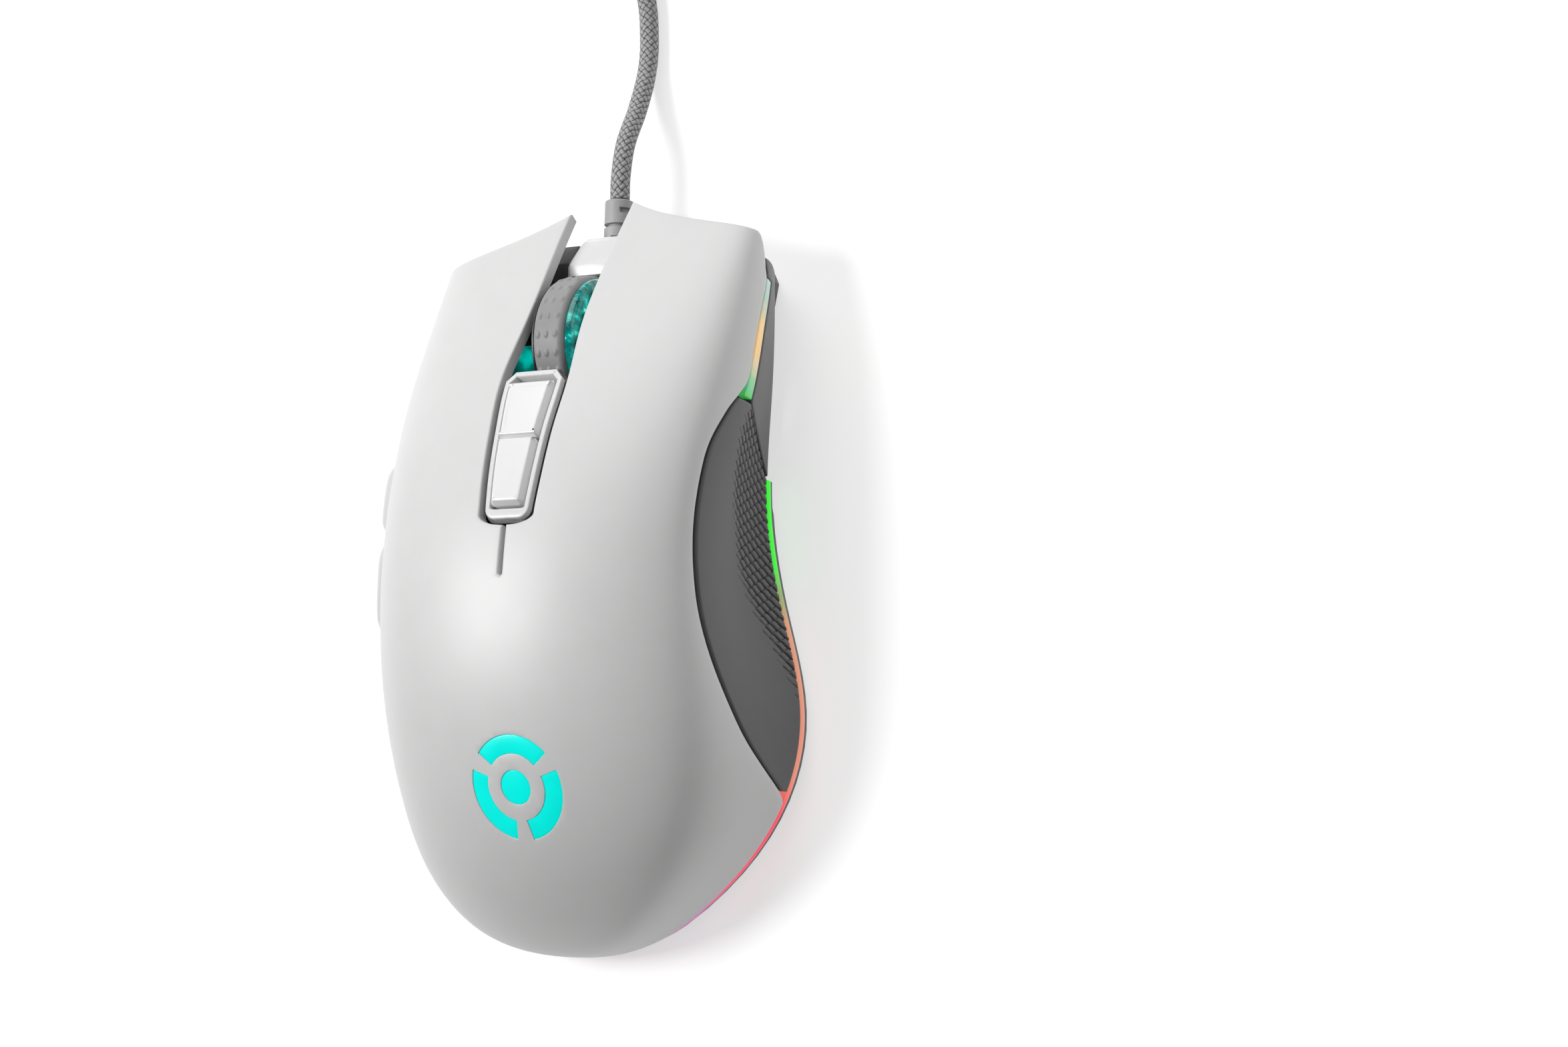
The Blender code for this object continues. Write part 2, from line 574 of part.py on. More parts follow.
def add_wheel(finish):
    """Tyre, clear hub and axle on one centre, in a rocking carrier with an encoder."""
    x0, x1 = TYRE_X
    centre = (0.0, WHEEL_Y, WHEEL_Z)
    r = WHEEL_RADIUS
    tyre = [(9.6, x0), (r - 0.7, x0), (r, x0 + 0.9), (r, x1 - 0.9), (r - 0.7, x1), (9.6, x1)]
    turned("wheel_tyre", tyre, centre, (1, 0, 0), finish["rubber"])
    bore = AXLE_RADIUS + 0.05
    hub = [(bore, x0), (9.55, x0), (9.55, x1 + 0.02), (10.3, x1 + 0.35), (9.6, HUB_FACE_X),
           (7.6, HUB_FACE_X), (6.6, x1), (bore, x1)]
    turned("wheel_hub", hub, centre, (1, 0, 0), finish["teal"])
    rod("wheel_axle", AXLE_RADIUS, (AXLE_X[0], WHEEL_Y, WHEEL_Z), (AXLE_X[1], WHEEL_Y, WHEEL_Z),
        finish["black"], 16)
    add_carrier(finish["black"])


def add_carrier(finish):
    """The cradle that holds the axle, rocks about the encoder and presses the click switch."""
    top_z, low_z = WHEEL_Z + 3.0, WHEEL_Z - 9.0
    arm_rear, arm_front = WHEEL_Y - 6.0, WHEEL_Y + 5.0
    bridge_rear, bridge_front = WHEEL_Y - 16.0, WHEEL_Y - 12.7
    beam_z = low_z + 3.0
    left_x, right_x = (-5.2, -4.0), (4.8, 5.8)
    carrier = box("wheel_carrier", (left_x[0], arm_rear, low_z), (left_x[1], arm_front, top_z),
                  finish)
    tools = [
        box("carrier_arm", (right_x[0], arm_rear, low_z), (right_x[1], arm_front, top_z), finish),
        box("carrier_bridge", (left_x[0], bridge_rear, low_z),
            (right_x[1], bridge_front, beam_z), finish),
    ]
    for word, (x0, x1) in (("left", left_x), ("right", right_x)):
        tools.append(box("carrier_%s_beam" % word, (x0, bridge_front - 1.0, low_z),
                         (x1, arm_rear + 1.0, beam_z), finish))
    tools.append(box("carrier_foot", (CLICK_SWITCH[0] - 1.5, CLICK_SWITCH[1] - 1.5,
                                      CLICK_SWITCH_TOP + 1.0),
                     (left_x[1], CLICK_SWITCH[1] + 1.5, CLICK_SWITCH_TOP + 2.6), finish))
    combine(carrier, tools, "UNION")
    bearing = rod("carrier_bearing", AXLE_RADIUS + BEARING_CLEARANCE, (-6.0, WHEEL_Y, WHEEL_Z),
                  (6.5, WHEEL_Y, WHEEL_Z), finish, 16)
    combine(carrier, [bearing], "DIFFERENCE")


def add_nose(finish):
    """The gloss bridge over the cable outlet and the rubber strain relief."""
    profile = [(49.8, 13.0), (57.0, 13.0), (57.0, 13.8), (56.3, 14.9), (54.3, 16.4), (52.4, 17.5),
               (51.1, 18.0), (49.8, 18.1)]
    half = 4.6
    verts = [(x, y, z) for x in (-half, half) for y, z in profile]
    count = len(profile)
    faces = [tuple(range(count)), tuple(range(2 * count - 1, count - 1, -1))]
    for i in range(count):
        j = (i + 1) % count
        faces.append((i, j, count + j, count + i))
    make_object("nose_bridge", verts, faces, finish["white_gloss"])
    start = 52.0
    length = RELIEF_FRONT_Y - start
    ring = RELIEF_RADIUS
    profile = [(0.0, 0.0), (ring + 0.7, 0.0), (ring + 0.7, 1.6), (ring, 1.6), (ring, length - 0.5),
               (ring - 0.4, length), (0.0, length)]
    turned("strain_relief", profile, (0.0, start, RELIEF_Z), (0, 1, 0), finish["relief"], 20)


# ---- base, light guide, electronics ---------------------------------------------------------
def add_base(finish):
    """Bottom tray with a raised nose, the light guide on its rim, feet and screws."""
    outline = base_outline()
    inset = [np.interp(y, *TRAY_INSET) for _, y in outline]
    tray = prism("base_tray", offset_outline(outline, inset), TRAY_BOTTOM_Z, TRAY_FLOOR_Z,
                 finish["grey"])
    step = offset_outline(outline, GUIDE_WIDTH + GAP)
    rim_cut = prism("rim_cut", offset_outline(outline, -3.0), GUIDE_BOTTOM_Z - GAP, 5.0,
                    finish["grey"])
    keep = prism("rim_keep", step, 0.0, 6.0, finish["grey"])
    front_keep = box("rim_front_keep", (-40, 13.6, 0.0), (40, 70.0, 6.0), finish["grey"])
    combine(rim_cut, [keep, front_keep], "DIFFERENCE")
    combine(tray, [rim_cut], "DIFFERENCE")
    nose_points = [(x, y) for x, y in offset_outline(outline, 0.4) if y > 50.6]
    nose_outline = nose_points + [(x * 0.93, y - 1.8) for x, y in nose_points[::-1]]
    nose_wall = prism("nose_wall", nose_outline, 1.5, NOSE_WALL_TOP, finish["grey"])
    outlet = rod("cable_outlet", RELIEF_RADIUS + GAP, (0, 50.0, RELIEF_Z), (0, 60.0, RELIEF_Z),
                 finish["grey"], 20)
    window = box("sensor_window", (-6.0, -4.5, 0.0), (6.0, 4.5, 3.4), finish["grey"])
    holes = [rod("screw_hole_%d" % i, 1.5, (x, y, 0.0), (x, y, 4.0), finish["grey"], 16)
             for i, (x, y) in enumerate(SCREW_PLACES)]
    combine(tray, [nose_wall], "UNION")
    combine(tray, [outlet, window] + holes, "DIFFERENCE")

    u = np.concatenate([SKIN.u_at(np.arange(13.2, TAIL_Y + 4.0, -3.0)),
                        np.linspace(SKIN.u_at(TAIL_Y + 3.0), 1.0, 9)])
    right = SKIN.point(u, 1.0)[:, :2]
    left = SKIN.point(u, 0.0)[:, :2]
    run = np.vstack([left, right[::-1][1:]])
    edge = np.gradient(run, axis=0)
    inward = np.stack([-edge[:, 1], edge[:, 0]], 1)
    inward /= np.linalg.norm(inward, axis=1, keepdims=True)
    band("rear_light_guide", run + inward * GUIDE_INSET, run + inward * GUIDE_WIDTH, GUIDE_BOTTOM_Z,
         GUIDE_TOP_Z, finish["light"])

    for i, (x, y) in enumerate(SCREW_PLACES):
        pin_low, pin_high = TRAY_BOTTOM_Z + 0.3, TRAY_BOTTOM_Z + 4.3
        head_low, head_high = TRAY_FLOOR_Z + 0.7, TRAY_FLOOR_Z + 1.7
        screw = rod("base_screw_%d" % (i + 1), SCREW_RADIUS, (x, y, pin_low), (x, y, pin_high),
                    finish["steel"], 12)
        head = rod("screw_head_%d" % (i + 1), SCREW_HEAD_RADIUS, (x, y, head_low),
                   (x, y, head_high), finish["steel"], 16)
        combine(screw, [head], "UNION")

    for name, size in FEET.items():
        prism(name, rounded_foot(*size), 0.0, FOOT_THICKNESS, finish["glide"])


def rounded_foot(cx, cy, half_x, half_y, power=3.0, count=20):
    """A superellipse outline."""
    points = []
    for k in range(count):
        a = 2 * math.pi * k / count
        x = math.copysign(abs(math.cos(a)) ** (2 / power), math.cos(a))
        y = math.copysign(abs(math.sin(a)) ** (2 / power), math.sin(a))
        points.append((cx + half_x * x, cy + half_y * y))
    return points


def add_switch(name, centre, size, finish, plunger=0.7):
    """A micro switch: a case with a small plunger on top."""
    cx, cy, z = centre
    sx, sy, sz = size
    case = box(name, (cx - sx / 2, cy - sy / 2, z), (cx + sx / 2, cy + sy / 2, z + sz), finish)
    key = box(name + "_plunger", (cx - 0.8, cy - 0.6, z + sz - 0.3),
              (cx + 0.8, cy + 0.6, z + sz + plunger), finish)
    return combine(case, [key], "UNION")


def add_electronics(finish):
    """Main board with what stands on it, the upper board under the sensitivity buttons, and the
    side board behind the thumb buttons."""
    board_outline = [(-20, -30), (16, -30), (20, -20), (20, 46), (9, 48), (-9, 48), (-20, 46)]
    board = prism("main_board", board_outline, PCB_Z, PCB_Z + PCB_THICKNESS, finish["board"])
    wheel_gap = box("board_wheel_gap", (-5.9, 20.4, 5.0), (6.2, 60.0, 9.0), finish["board"])
    lens_gap = box("board_lens_gap", (-3.5, -3.0, 5.0), (3.5, 3.0, 9.0), finish["board"])
    combine(board, [wheel_gap, lens_gap], "DIFFERENCE")
    top = BOARD_TOP
    for side, word in ((-1, "left"), (1, "right")):
        add_switch(word + "_main_switch", (side * MAIN_SWITCH[0], MAIN_SWITCH[1], top),
                   (5.8, 10.0, 6.2), finish["black"])
    add_switch("wheel_click_switch", (*CLICK_SWITCH, top), (6.0, 6.0, 4.0), finish["black"], 0.5)
    encoder = box("scroll_encoder", (7.0, WHEEL_Y - 5.0, 10.9), (12.5, WHEEL_Y + 5.0, 23.0),
                  finish["black"])
    rotor_hole = rod("encoder_hole", AXLE_RADIUS + BEARING_CLEARANCE, (6.0, WHEEL_Y, WHEEL_Z),
                     (13.0, WHEEL_Y, WHEEL_Z), finish["black"], 16)
    combine(encoder, [rotor_hole], "DIFFERENCE")
    box("sensor", (-6.2, -7.0, top), (6.2, 7.0, top + 2.6), finish["black"], 0.3)
    lens = box("sensor_lens", (-8.5, -7.0, TRAY_FLOOR_Z + GAP), (8.5, 7.0, 4.1), finish["clear"])
    lens_dome = box("sensor_lens_dome", (-3.0, -2.5, 3.6), (3.0, 2.5, 7.7), finish["clear"])
    combine(lens, [lens_dome], "UNION")
    box("cable_connector", (-13.6, 42.0, top), (-7.0, 46.0, top + 5.0), finish["white"])
    box("emblem_led", (-2.0, -29.0, top), (2.0, -25.0, top + 1.6), finish["clear"])

    plate = [(-4.5, 8.0), (4.5, 8.0), (4.5, 25.4), (-4.5, 25.4)]
    prism("dpi_board", plate, DPI_BOARD_Z, DPI_BOARD_Z + PCB_THICKNESS, finish["board"])
    box("dpi_board_post", (-3.0, 9.5, top), (3.0, 13.5, DPI_BOARD_Z - GAP), finish["grey"])
    for name, rear, front in DPI_BUTTONS:
        add_switch(name.replace("button", "switch"),
                   (0.0, (rear + front) / 2, DPI_BOARD_Z + PCB_THICKNESS + GAP),
                   (5.0, 2.8, 3.4), finish["black"], 0.4)

    box("side_board", (-24.0, -11.0, top), (-22.6, 18.0, 25.5), finish["board"])
    for name, (rear, front) in SIDE_BUTTONS.items():
        middle = (rear + front) / 2
        label = name.replace("button", "switch")
        case = box(label, (-27.6, middle - 3.0, 20.5), (-24.3, middle + 3.0, 25.5), finish["black"])
        key = box(label + "_plunger", (-28.2, middle - 0.8, 22.2), (-27.4, middle + 0.8, 23.8),
                  finish["black"])
        combine(case, [key], "UNION")


def crown_patch(name, places, finish, outer, inner):
    """A sheet under a grid of plan positions (x, y) on the upper side of the skin."""
    u = SKIN.u_at(places[..., 1])
    v = np.array([[SKIN.v_top(uu, x) for uu, x in zip(row_u, row_x)]
                  for row_u, row_x in zip(u, places[..., 0])])
    return sheet(name, u, v, finish, outer=outer, inner=inner, floor=0.0)


def disc_places(radius, count):
    """A square grid of plan positions bent into a disc round the emblem's centre."""
    s, t = np.meshgrid(np.linspace(1, -1, count), np.linspace(-1, 1, count), indexing="ij")
    x = EMBLEM_CENTRE[0] + radius * t * np.sqrt(1 - s * s / 2)
    y = EMBLEM_CENTRE[1] + radius * s * np.sqrt(1 - t * t / 2)
    return np.stack([x, y], -1)


def arc_places(k, grow=0.0):
    """Plan positions of arc number k of the emblem, widened by grow all round."""
    r0, r1 = EMBLEM_RING
    turn = 2 * math.pi / EMBLEM_ARCS
    half = turn / 2 - EMBLEM_ARC_GAP / 2 / r1 + grow / r1
    angle = math.pi / 2 + k * turn + np.linspace(half, -half, 9)
    radius = np.array([r1 + grow, r0 - grow])
    a, r = np.meshgrid(angle, radius, indexing="ij")
    places = np.stack([EMBLEM_CENTRE[0] + r * np.cos(a), EMBLEM_CENTRE[1] + r * np.sin(a)], -1)
    return places.swapaxes(0, 1)


def add_emblem(shell, finish):
    """A lit mark in the palm: three arcs round a dot, raised from one lens under the shell."""
    cut = EMBLEM_CLEARANCE
    cutters = [crown_patch("emblem_hole_%d" % k, arc_places(k, cut), finish, 2.0, 4.0)
               for k in range(EMBLEM_ARCS)]
    cutters.append(crown_patch("emblem_hole_dot", disc_places(EMBLEM_DOT + cut, 9), finish,
                               2.0, 4.0))
    combine(shell, cutters, "DIFFERENCE")
    lens = crown_patch("emblem_lens", disc_places(EMBLEM_RING[1] + 1.5, 11), finish,
                       -SHELL_THICKNESS - GAP, SHELL_THICKNESS + 1.5)
    bosses = [crown_patch("emblem_arc_%d" % k, arc_places(k), finish, -0.1, 2.8)
              for k in range(EMBLEM_ARCS)]
    bosses.append(crown_patch("emblem_dot", disc_places(EMBLEM_DOT, 9), finish, -0.1, 2.8))
    combine(lens, bosses, "UNION")


# ---- cable ---------------------------------------------------------------------------------
LEAD_ROUTE = [(0.0, 64.65, RELIEF_Z), (0.0, 69.0, RELIEF_Z), (0.0, 75.0, 8.2), (0.0, 82.0, 4.8),
              (0.0, 89.0, 2.3), (0.0, 95.0, 1.75), (-1.2, 104.0, 1.75), (-6.0, 113.0, 1.75),
              (-14.5, 121.2, 1.75)]
TAIL_ROUTE = [(17.5, 169.8, 6.5), (27.0, 167.0, 5.0), (36.5, 161.0, 4.4), (42.5, 153.5, PLUG_Z),
              (PLUG_X, 146.5, PLUG_Z)]


def add_tube(name, route, diameter, finish):
    """A cable: a round tube along a smooth curve through the route."""
    points = smooth(route, 2)
    curve = bpy.data.curves.new(name, "CURVE")
    curve.dimensions = "3D"
    curve.bevel_depth = diameter / 2 * MM
    curve.bevel_resolution = 2
    curve.use_fill_caps = True
    spline = curve.splines.new("POLY")
    spline.points.add(len(points) - 1)
    for place, target in zip(points, spline.points):
        target.co = (*(place * MM), 1.0)
    made = bpy.data.objects.new(name, curve)
    curve.materials.append(finish)
    bpy.context.scene.collection.objects.link(made)
    return made


def add_cable(finish):
    """The free cable: a lead to a neat coil, its tie, a tail and the USB plug."""
    add_tube("cable", LEAD_ROUTE, CABLE_DIAMETER, finish["braid"])
    add_tube("cable_tail", TAIL_ROUTE, CABLE_DIAMETER, finish["braid"])
    cx, cy = COIL_CENTRE
    low = 0.05
    r0, r1, h = COIL_INNER, COIL_OUTER, COIL_HEIGHT
    ring = [(r0, 2.0), (r0 + 2.0, low), (r1 - 2.0, low), (r1, 2.0), (r1, h - 2.0), (r1 - 2.0, h),
            (r0 + 2.0, h), (r0, h - 2.0)]
    turned("cable_coil", ring, (cx, cy, 0.0), (0, 0, 1), finish["braid"], 40)
    y0, y1 = cy - r1 - GAP, cy - r0 + 2 * GAP
    wall = 1.0
    half = 2.5
    tie = box("cable_tie", (cx - half, y0 - wall, 0.0), (cx + half, y1 + wall, h + GAP + wall),
              finish["black"])
    hole = box("cable_tie_hole", (cx - 2 * half, y0, -1.0), (cx + 2 * half, y1, h + GAP),
               finish["black"])
    combine(tie, [hole], "DIFFERENCE")
    px, pz = PLUG_X, PLUG_Z
    box("usb_plug_grip", (px - 8.0, 119.5, 0.05), (px + 8.0, 146.2, pz * 2 - 0.05),
        finish["black"], 1.2)
    box("usb_plug_shell", (px - 6.0, 107.5, pz - 2.25), (px + 6.0, 119.2, pz + 2.25),
        finish["steel"], 0.3)


def main():
    for old in list(bpy.data.objects):
        bpy.data.objects.remove(old, do_unlink=True)
    finish = make_materials()
    palm = add_palm_shell(finish["white"])
    add_main_button("left_main_button", -1, finish["white"])
    add_main_button("right_main_button", 1, finish["white"])
    add_grips(finish)
    add_side_buttons(finish["white"])
    add_dpi_controls(finish)
    add_wheel(finish)
    add_nose(finish)
    add_base(finish)
    add_electronics(finish)
    add_emblem(palm, finish["cyan"])
    add_cable(finish)


main()
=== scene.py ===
"""The looks of a wired ergonomic mouse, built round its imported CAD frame.

Lengths are in millimetres in the row's frame, and make_piece() turns them into metres.
"""
import math

import bmesh
import bpy
import numpy as np
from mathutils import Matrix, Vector, geometry, kdtree


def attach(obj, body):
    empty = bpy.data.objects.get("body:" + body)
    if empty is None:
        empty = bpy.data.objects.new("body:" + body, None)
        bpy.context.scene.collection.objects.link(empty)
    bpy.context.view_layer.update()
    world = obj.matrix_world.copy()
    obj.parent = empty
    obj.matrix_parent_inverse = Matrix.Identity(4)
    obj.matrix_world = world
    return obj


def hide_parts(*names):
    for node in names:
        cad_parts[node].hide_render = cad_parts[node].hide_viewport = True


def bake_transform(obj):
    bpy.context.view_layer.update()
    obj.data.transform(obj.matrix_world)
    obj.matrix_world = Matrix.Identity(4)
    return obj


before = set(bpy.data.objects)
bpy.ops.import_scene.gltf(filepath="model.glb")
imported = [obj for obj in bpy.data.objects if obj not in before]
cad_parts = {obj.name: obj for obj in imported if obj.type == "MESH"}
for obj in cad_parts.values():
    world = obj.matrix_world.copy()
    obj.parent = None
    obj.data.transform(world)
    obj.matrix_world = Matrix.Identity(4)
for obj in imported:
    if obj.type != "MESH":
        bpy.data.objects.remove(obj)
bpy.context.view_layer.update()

MM = 0.001

# ---- shape of the skin, as in the CAD --------------------------------------------------------
SKIN_BASE_Z = 4.2
TAIL_X = -6.0                   # x of the rearmost point
SECTIONS = [
    # y, x of the left foot, nine x, z pairs from left to right, x of the right foot
    (68.0, -26.0, (-28.0, 7.0), (-29.0, 8.5), (-27.0, 10.5), (-14.0, 11.0), (0.0, 11.0),
     (14.0, 11.0), (27.0, 10.5), (29.0, 8.5), (28.0, 7.0), 26.0),
    (60.0, -27.0, (-29.5, 9.0), (-31.0, 12.0), (-28.5, 15.5), (-14.0, 16.5), (0.0, 16.5),
     (14.0, 16.5), (29.0, 15.5), (31.5, 12.0), (30.0, 9.0), 27.5),
    (47.0, -27.5, (-30.0, 10.0), (-31.5, 16.0), (-28.5, 22.0), (-14.0, 24.0), (0.0, 24.3),
     (14.0, 24.0), (30.0, 22.0), (33.0, 15.5), (31.0, 9.5), 28.3),
    (30.0, -27.5, (-30.0, 11.5), (-32.5, 19.5), (-31.0, 28.5), (-14.0, 33.2), (0.0, 34.0),
     (14.0, 33.2), (31.0, 28.5), (33.5, 18.5), (30.0, 10.5), 28.5),
    (12.0, -27.0, (-28.5, 12.0), (-33.0, 21.0), (-31.5, 33.0), (-15.0, 38.8), (0.0, 39.6),
     (15.0, 38.8), (30.5, 33.0), (29.5, 20.0), (27.0, 11.0), 27.2),
    (-6.0, -29.0, (-29.0, 12.0), (-33.5, 21.0), (-32.0, 33.5), (-16.0, 40.6), (0.0, 41.6),
     (15.5, 40.4), (30.5, 33.0), (29.5, 20.0), (28.5, 11.0), 31.0),
    (-24.0, -32.0, (-32.0, 12.0), (-33.0, 21.0), (-30.8, 32.0), (-16.0, 38.8), (0.0, 40.2),
     (15.5, 38.6), (30.5, 31.5), (34.0, 20.0), (35.5, 11.0), 37.5),
    (-42.0, -31.5, (-31.5, 11.0), (-31.0, 19.5), (-27.0, 28.0), (-14.5, 33.0), (0.0, 34.3),
     (13.0, 32.8), (26.0, 28.0), (31.0, 20.0), (32.5, 11.0), 32.4),
    (-56.5, -27.0, (-27.0, 9.5), (-26.0, 16.0), (-22.5, 21.5), (-13.0, 24.8), (-2.5, 25.4),
     (7.5, 24.0), (16.5, 20.5), (18.5, 15.0), (19.0, 9.5), 18.6),
    (-64.2, -18.0, (-17.5, 7.0), (-16.0, 10.5), (-13.5, 13.5), (-9.0, 15.0), (-5.5, 15.0),
     (-1.5, 14.0), (2.5, 12.5), (4.5, 9.5), (5.5, 7.0), 6.0),
]
TAIL_Y = SECTIONS[-1][0]
GUIDE_FRONT_Y = 15.4            # the rear light guide starts here
RIGHT_EDGE = [(56.0, 18.6), (53.5, 17.4), (51.8, 15.4), (49.5, 13.8), (47.0, 13.1), (41.8, 15.2),
              (35.7, 17.0), (29.5, 18.2), (26.5, 20.8), (23.4, 23.7), (18.0, 27.0), (12.4, 28.6),
              (5.0, 29.6), (-2.5, 29.5), (-10.8, 28.1), (-19.0, 24.7), (-27.0, 19.2),
              (-32.2, 13.3), (-36.5, 6.3), (-37.6, SKIN_BASE_Z)]
LEFT_EDGE = [(56.0, 18.6), (53.5, 17.4), (51.8, 15.4), (49.5, 13.8), (47.0, 13.1), (41.8, 15.2),
             (35.7, 17.2), (29.5, 19.5), (25.0, 22.5), (20.0, 25.6), (14.0, 27.6), (5.0, 28.4),
             (-6.0, 28.3), (-14.0, 26.8), (-22.0, 22.8), (-29.0, 16.6), (-34.0, 9.8),
             (-37.6, SKIN_BASE_Z)]
STRIP_TOP = [(50.0, 11.9), (47.0, 12.2), (41.8, 14.3), (35.7, 16.1), (29.5, 17.4), (26.5, 18.6)]
STRIP_BOTTOM = [(50.0, 8.4), (46.0, 10.2), (39.4, 12.7), (34.2, 13.8), (29.2, 14.7), (26.5, 15.4)]
SEAM = [(26.3, 15.6), (21.3, 9.2), (16.2, 4.9), (15.1, SKIN_BASE_Z)]
PANEL_FRONT_Y = 49.5
STRIP_FRONT_Y = 47.5
GRIP_REAR_Y = -37.0
SLOT_HALF_WIDTH = [(62.5, 5.9), (42.0, 5.5), (29.0, 6.5), (19.5, 6.0), (12.0, 5.6), (6.6, 5.2)]
SLOT_REAR_Y = 4.1
SLOT_CORNER = 1.8
SLIT_HALF_WIDTH = 0.34
SLIT_REAR_Y = -4.1
SPLIT_Y = -4.6                  # where the main buttons leave the palm shell
BUTTON_TIP = {-1: (51.0, 11.3), 1: (53.7, 9.7)}
BUTTON_TIP_DECAY = 11.0
BUTTON_CORNER = 5.2
BUTTON_FRONT_Y = 62.5           # a straight button would end here: its rows are spaced for that
EDGE_FRONT_Y = 49.0             # ahead of this a button's outer edge keeps its place on the skin
BUTTON_ACROSS = (0.9, 24.5)     # x of a button's inner edge, and its width
CORNER_FROM = 0.8               # share of its width where its front corner starts
SIDE_BUTTONS = {"side_button_forward": (5.3, 18.2), "side_button_back": (-11.8, 4.9)}
SIDE_BUTTON_LOW_Z = 21.6
SIDE_BUTTON_TOP_GAP = 0.8
SIDE_BUTTON_LIFT = 2.4
EMBLEM_CENTRE = (1.0, -37.3)
EMBLEM_RING = (5.2, 8.2)
EMBLEM_DOT = 2.7
EMBLEM_ARCS = 3
EMBLEM_ARC_GAP = 3.0
POCKET_DEPTH = 0.9
WHEEL_CENTRE = (0.0, 37.2, 17.4)
WHEEL_RADIUS = 12.0
RELIEF_Z = 9.4


# ---- curves and the skin ---------------------------------------------------------------------
CURVES = {}                     # smoothed curves that along() has made already


def smooth(points, steps=12):
    """Points along a Catmull-Rom curve through the given points."""
    pts = np.array(points, float)
    ext = np.vstack([2 * pts[0] - pts[1], pts, 2 * pts[-1] - pts[-2]])
    t = np.linspace(0.0, 1.0, steps, endpoint=False)[:, None]
    out = []
    for a, b, c, d in zip(ext[:-3], ext[1:-2], ext[2:-1], ext[3:]):
        out.append(0.5 * (2 * b + (c - a) * t + (2 * a - 5 * b + 4 * c - d) * t ** 2
                          + (3 * b - a - 3 * c + d) * t ** 3))
    out.append(pts[-1:])
    return np.vstack(out)


def along(points, y):
    """Second value of a curve given as (y, value) points, at y."""
    key = tuple(points)
    if key not in CURVES:
        curve = smooth(points)
        CURVES[key] = curve[np.argsort(curve[:, 0])].T
    return np.interp(y, *CURVES[key])


def spline_weights(count, t):
    """Weights of a clamped uniform cubic B-spline with count control points, at each t in 0..1."""
    spans = count - 3
    t = np.clip(np.asarray(t, float), 0.0, 1.0) * spans
    knots = np.concatenate([np.zeros(3), np.arange(spans + 1), np.full(3, spans)]).astype(float)
    weights = [((knots[i] <= t) & (t < knots[i + 1])).astype(float) for i in range(len(knots) - 1)]
    weights[count - 1] = np.where(t >= spans, 1.0, weights[count - 1])
    for degree in (1, 2, 3):
        raised = []
        for i in range(len(knots) - 1 - degree):
            left = knots[i + degree] - knots[i]
            right = knots[i + degree + 1] - knots[i + 1]
            value = np.zeros_like(t)
            if left > 0:
                value = value + (t - knots[i]) / left * weights[i]
            if right > 0:
                value = value + (knots[i + degree + 1] - t) / right * weights[i + 1]
            raised.append(value)
        weights = raised
    return np.stack(weights[:count], -1)


class Skin:
    """The mouse's outer surface: u runs from nose to tail, v from left foot to right foot."""

    def __init__(self):
        rows = []
        for section in SECTIONS:
            y, foot_l, *middle, foot_r = section
            xz = [(foot_l, SKIN_BASE_Z), *middle, (foot_r, SKIN_BASE_Z)]
            rows.append([(x, y, z) for x, z in xz])
        rows.append([(TAIL_X, TAIL_Y, SKIN_BASE_Z)] * len(rows[0]))
        self.net = np.array(rows)
        self.u_table = np.linspace(0.0, 1.0, 4001)
        self.y_table = spline_weights(len(rows), self.u_table) @ self.net[:, 0, 1]

    def point(self, u, v):
        """Points of the surface; u and v broadcast."""
        u, v = np.broadcast_arrays(np.asarray(u, float), np.asarray(v, float))
        wu = spline_weights(self.net.shape[0], u)
        wv = spline_weights(self.net.shape[1], v)
        rows = np.tensordot(wu, self.net, axes=(-1, 0))
        return np.einsum("...j,...jk->...k", wv, rows)

    def normal(self, u, v, step=1e-4):
        """Outward unit normals."""
        u, v = np.broadcast_arrays(np.asarray(u, float), np.asarray(v, float))
        u = np.minimum(u, 1.0 - 2 * step)
        v0 = np.clip(v - step, 0.0, 1.0)
        v1 = np.clip(v + step, 0.0, 1.0)
        du = self.point(u + step, v) - self.point(u - step, v)
        dv = self.point(u, v1) - self.point(u, v0)
        cross = np.cross(du, dv)
        return cross / np.linalg.norm(cross, axis=-1, keepdims=True)

    def u_at(self, y):
        """u of the section at y."""
        return np.interp(-np.asarray(y, float), -self.y_table, self.u_table)

    def _find(self, u, target, table, axis):
        """v where each section at u has its target value along an axis."""
        u, target = np.broadcast_arrays(np.asarray(u, float), np.asarray(target, float))
        sections = spline_weights(self.net.shape[0], u.ravel()) @ self.net[:, :, axis]
        values = sections @ spline_weights(self.net.shape[1], table).T
        found = [np.interp(t, row, table) for t, row in zip(target.ravel(), values)]
        return np.reshape(found, u.shape)

    def v_top(self, u, x):
        """v of the point with this x on the upper side of the section at u."""
        return self._find(u, x, np.linspace(0.25, 0.75, 301), 0)

    def v_side(self, u, z, side):
        """v of the point with this z on the left (side -1) or right (side 1) wall at u."""
        ends = (0.0, 0.47) if side < 0 else (1.0, 0.53)
        return self._find(u, z, np.linspace(*ends, 301), 2)


SKIN = Skin()


